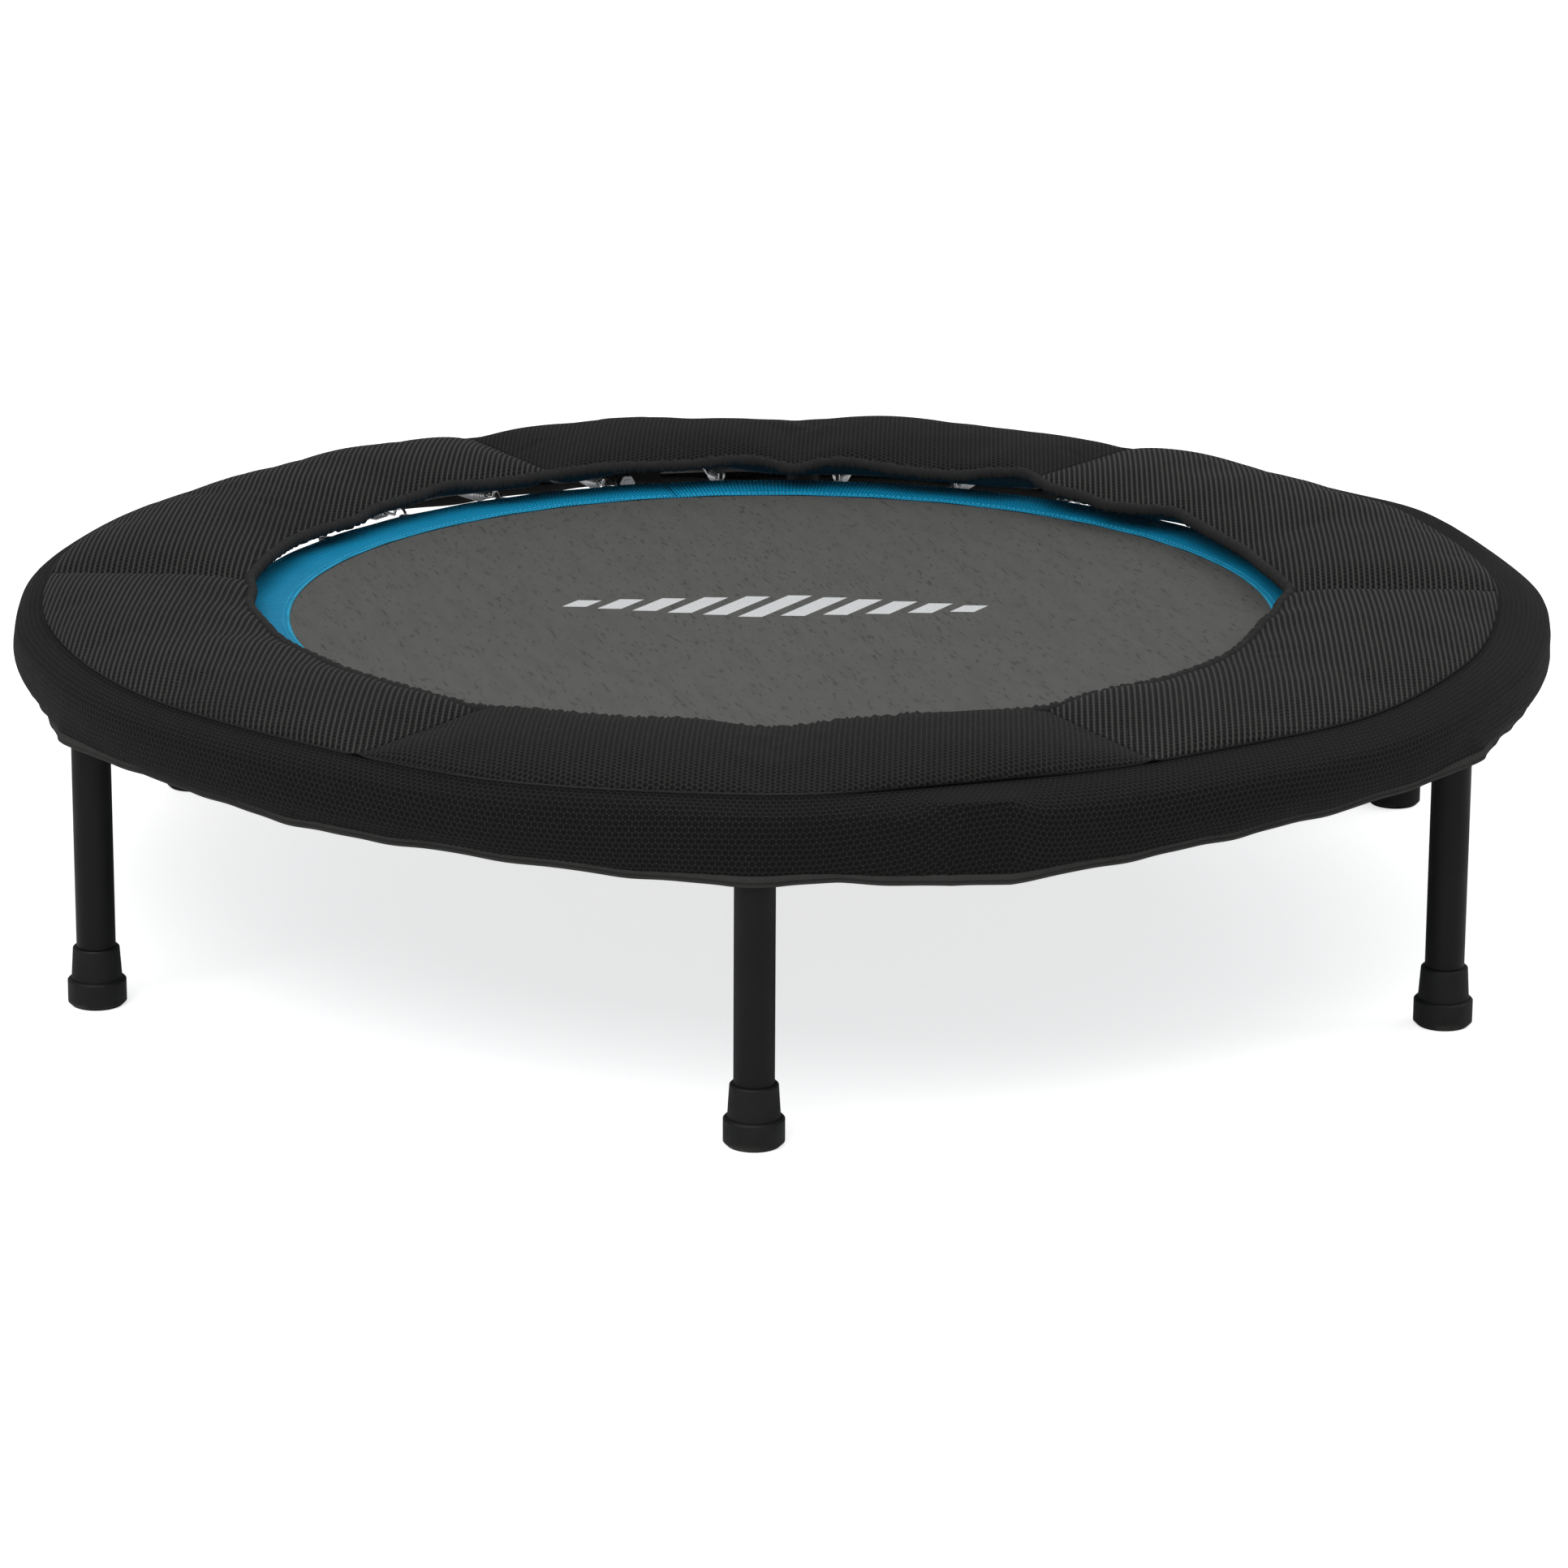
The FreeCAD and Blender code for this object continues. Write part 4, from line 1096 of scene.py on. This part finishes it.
class TRAMP_OT_band(bpy.types.Operator):
    """Builds the webbing band round the mat, with its overlocked edges and seams"""
    bl_idname = "tramp.band"
    bl_label = "Webbing band"

    def execute(self, context):
        settings = context.scene.tramp_mat
        webbing = webbing_material()
        thread = thread_material("blue_thread", settings.thread)
        inner, outer = settings.band_inner, settings.band_outer
        columns, margin, thick = 241, 0.8, 0.0005
        top = BAND_HIGH.z
        low = MAT_HIGH.z + 0.0001
        middle = (inner + outer) / 2
        upper = [(inner, low), (inner - 0.0004, (low + top) / 2), (inner, top - 0.0003), (middle, top),
                 (outer - 0.001, top + 0.0002), (outer, top - 0.0002), (outer - 0.0004, low + 0.0003),
                 (middle, low)]
        under_top, under = MAT_LOW.z - 0.0001, BAND_LOW.z
        lower = [(inner, under_top - 0.0012), (outer - 0.012, under_top - 0.0012), (outer - 0.004, under),
                 (outer, under), (outer, under + 0.0012), (outer - 0.010, under_top), (inner, under_top)]
        for half, start in HALVES.items():
            for layer, profile in (("upper", upper), ("lower", lower[::-1])):
                ring = profile + profile[:1]
                points, uvs = band_strip(start, ring, columns)
                first = [row * columns for row in range(len(profile))]
                last = [corner + columns - 1 for corner in reversed(first)]
                faces = quads(len(ring), columns) + [first, last]
                piece = new_piece("band_%s_%s" % (layer, half), points, faces, [webbing], uvs)
                welded(piece)
                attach(piece, "mat_" + half)
                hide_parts("mat_band_" + half)
            azimuth = np.linspace(start + margin, start + HALF_ARC - margin, 361)
            rows = (("edge", inner + 0.0002, top - 0.0004, 0.0026, 0.0030, math.pi / 2),
                    ("seam", inner + 0.0035, top - 0.0001, 0.0040, 0.0031, 0.0),
                    ("rim", outer - 0.0030, top, 0.0040, 0.0031, 0.0))
            for name, radius, height, spacing, long, turn in rows:
                path = on_ring(radius, azimuth, height)
                piece = stitched("band_%s_%s" % (name, half), path, thread, spacing, long, thick, turn)
                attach(piece, "mat_" + half)
        return {"FINISHED"}


def spring_path():
    """The wire of one spring at azimuth 0: hook over the V-ring, tapered coil, hook into the ring."""
    settings = bpy.context.scene.tramp_spring
    hook, sideways, turn_points = 0.006, np.array((0.0, 1.0, 0.0)), 13
    tip = np.array((V_TIP_RADIUS, 0.0, MAT_HIGH.z - 0.0015))
    turn = np.radians(np.linspace(205.0, 0.0, 22))
    eye = tip + hook * np.stack([np.cos(turn), 0 * turn, np.sin(turn)], axis=-1)
    near, far = tip + (hook, 0, 0), np.array((RING_RADIUS - 0.009, 0.0, RING_Z + 0.0025))
    along = (far - near) / np.linalg.norm(far - near)
    up = np.cross(along, sideways)
    turns = (settings.end - settings.start) / (2.12 * settings.wire)
    t = np.linspace(0.0, 1.0, int(turns * turn_points))
    distance = (settings.end - settings.start) * t
    taper = np.clip(np.minimum(t, 1 - t) / 0.15, 0.0, 1.0)
    size = settings.coil_radius * (0.28 + 0.72 * taper)
    size = size * np.clip(np.minimum(t, 1 - t) / 0.012, 0.0, 1.0)
    angle = FULL_TURN * turns * t
    origin = near + along * ((settings.start - near[0]) / along[0])
    coil = (origin + along * distance[:, None] + sideways * (size * np.cos(angle))[:, None]
            + up * (size * np.sin(angle))[:, None])
    bend = [far - along * 0.002, far + (0.0008, 0, -0.0008), far + (0.0016, 0, -0.0035),
            far + (0.002, 0, -0.006)]
    return np.concatenate([eye, coil, np.array(bend)])


class TRAMP_OT_springs(bpy.types.Operator):
    """Winds the coil springs between the V-rings and the ring frame"""
    bl_idname = "tramp.springs"
    bl_label = "Springs"

    def execute(self, context):
        settings = context.scene.tramp_spring
        steel = metal_material("spring_steel", settings.steel, 0.16)
        ring_end, mat_end = 0.478, 0.386
        points, faces = wire_mesh(spring_path(), settings.wire, 6)
        step = 360.0 / settings.number
        for half, start in HALVES.items():
            for k in range(settings.number // 2):
                azimuth = start + (k + 0.5) * step
                turned = points @ np.array(Matrix.Rotation(math.radians(azimuth), 3, "Z")).T
                piece = new_piece("spring_%s_%02d" % (half, k + 1), turned, faces, [steel])
                outer, inner = [on_ring(r, azimuth, RING_Z).tolist() for r in (ring_end, mat_end)]
                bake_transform(piece)
                if k == 0:
                    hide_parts("springs_" + half)
        return {"FINISHED"}


# ------------------------------------------------------------------ finishes of the frame's own parts


class TRAMP_OT_frame_finish(bpy.types.Operator):
    """Gives the ring, sockets, hinges, legs, bolts, V-rings and feet their finishes"""
    bl_idname = "tramp.frame_finish"
    bl_label = "Frame finishes"

    def execute(self, context):
        settings = context.scene.tramp_frame
        finishes = {
            "painted": painted_material(),
            "zinc": metal_material("zinc_plate", settings.zinc, 0.24),
            "wire": metal_material("ring_wire", context.scene.tramp_spring.steel, 0.18),
            "rubber": rubber_material(),
        }
        for name, part in frame["nodes"].items():
            if name.startswith(("frame_rail", "leg_socket", "leg_tube", "hinge_fork", "hinge_knuckle")):
                kind = "painted"
            elif name.startswith(("hinge_", "leg_stud")):
                kind = "zinc"
            elif name.startswith("v_rings"):
                kind = "wire"
            elif name.startswith("foot"):
                kind = "rubber"
            else:
                continue
            part.data.materials.clear()
            part.data.materials.append(finishes[kind])
        return {"FINISHED"}


# ------------------------------------------------------------------ stage


class TRAMP_OT_stage(bpy.types.Operator):
    """Lays the floor and sets the light and the camera"""
    bl_idname = "tramp.stage"
    bl_label = "Stage"

    def execute(self, context):
        settings = context.scene.tramp_stage
        half = settings.floor / 2
        white, pale = (1.0, 1.0, 1.0, 1.0), (0.93, 0.93, 0.93, 1.0)
        material, tree, shader, _ = new_material("studio_floor")
        seen = node(tree, "ShaderNodeLightPath").outputs["Is Camera Ray"]
        fill(tree, shader, {"Base Color": pale, "Roughness": 0.9, "Emission Color": white,
                            "Emission Strength": calc(tree, "MULTIPLY", seen, settings.lift)})
        corners = [(-half, -half, 0), (half, -half, 0), (half, half, 0), (-half, half, 0)]
        new_piece("studio_floor", corners, [[0, 1, 2, 3]], [material])
        world = bpy.data.worlds.new("studio")
        world.use_nodes = True
        sky, backdrop = world.node_tree, 1.1
        seen = node(sky, "ShaderNodeLightPath").outputs["Is Camera Ray"]
        strength = calc(sky, "MULTIPLY_ADD", seen, backdrop - settings.sky, settings.sky)
        fill(sky, sky.nodes["Background"], {"Color": white, "Strength": strength})
        context.scene.world = world
        context.scene.view_settings.view_transform = "Standard"
        self.light("key", (-0.8, -1.7, 2.5), 2.4, settings.key)
        self.light("fill", (1.8, 0.6, 2.3), 2.0, settings.key * 0.40)
        self.camera(context, settings)
        return {"FINISHED"}

    def light(self, name, place, size, power):
        """A large soft light that faces the mat."""
        lamp = bpy.data.lights.new(name, "AREA")
        lamp.size = size
        lamp.energy = power
        lit = bpy.data.objects.new(name, lamp)
        lit.location = place
        lit.rotation_euler = (Vector((0, 0, 0.2)) - Vector(place)).to_track_quat("-Z", "Y").to_euler()
        bpy.context.scene.collection.objects.link(lit)

    def camera(self, context, settings):
        """A long lens a little above the mat, turned slightly about the object."""
        pitch, roll = math.radians(settings.pitch), math.radians(settings.roll)
        ahead = Vector((0, math.cos(pitch), -math.sin(pitch)))
        right = Vector((1, 0, 0))
        up = right.cross(ahead)
        right, up = (math.cos(roll) * right + math.sin(roll) * up,
                     math.cos(roll) * up - math.sin(roll) * right)
        turn = Matrix.Rotation(math.radians(settings.turn), 3, "Z")
        axes = Matrix((turn @ right, turn @ up, turn @ -ahead)).transposed()
        lens = bpy.data.cameras.new("camera")
        lens.lens = settings.lens
        lens.sensor_width = 36.0
        lens.clip_end = 100.0
        camera = bpy.data.objects.new("camera", lens)
        place = turn @ Vector((0.0020, -3.9918, 1.2480))
        camera.matrix_world = Matrix.Translation(place) @ axes.to_4x4()
        context.scene.collection.objects.link(camera)
        context.scene.camera = camera


# ------------------------------------------------------------------ panel and registration

SETTINGS = {"tramp_cover": CoverSettings, "tramp_mat": MatSettings, "tramp_spring": SpringSettings,
            "tramp_frame": FrameSettings, "tramp_stage": StageSettings}
OPERATORS = (TRAMP_OT_frame_finish, TRAMP_OT_mat, TRAMP_OT_band, TRAMP_OT_springs, TRAMP_OT_panels,
             TRAMP_OT_skirt, TRAMP_OT_hem, TRAMP_OT_binding, TRAMP_OT_cover_stitches, TRAMP_OT_stage)


class TRAMP_PT_sidebar(bpy.types.Panel):
    """Lists the settings and the steps that build the trampoline"""
    bl_idname = "TRAMP_PT_sidebar"
    bl_label = "Mini trampoline"
    bl_space_type = "VIEW_3D"
    bl_region_type = "UI"
    bl_category = "Trampoline"

    def draw(self, context):
        for name in SETTINGS:
            box = self.layout.box()
            box.label(text=name.replace("tramp_", "").capitalize())
            group = getattr(context.scene, name)
            for field in group.bl_rna.properties.keys():
                if field not in ("rna_type", "name"):
                    box.prop(group, field)
        for operator in OPERATORS:
            self.layout.operator(operator.bl_idname)


def register():
    """Registers the settings, operators and sidebar."""
    for kind in (*SETTINGS.values(), *OPERATORS, TRAMP_PT_sidebar):
        bpy.utils.register_class(kind)
    for name, kind in SETTINGS.items():
        setattr(bpy.types.Scene, name, bpy.props.PointerProperty(type=kind))


def unregister():
    """Takes back what register did."""
    for name in SETTINGS:
        delattr(bpy.types.Scene, name)
    for kind in (TRAMP_PT_sidebar, *reversed(OPERATORS), *reversed(SETTINGS.values())):
        bpy.utils.unregister_class(kind)


def main():
    """Builds the whole object."""
    register()
    for operator in OPERATORS:
        family, name = operator.bl_idname.split(".")
        getattr(getattr(bpy.ops, family), name)()


if __name__ == "__main__":
    main()
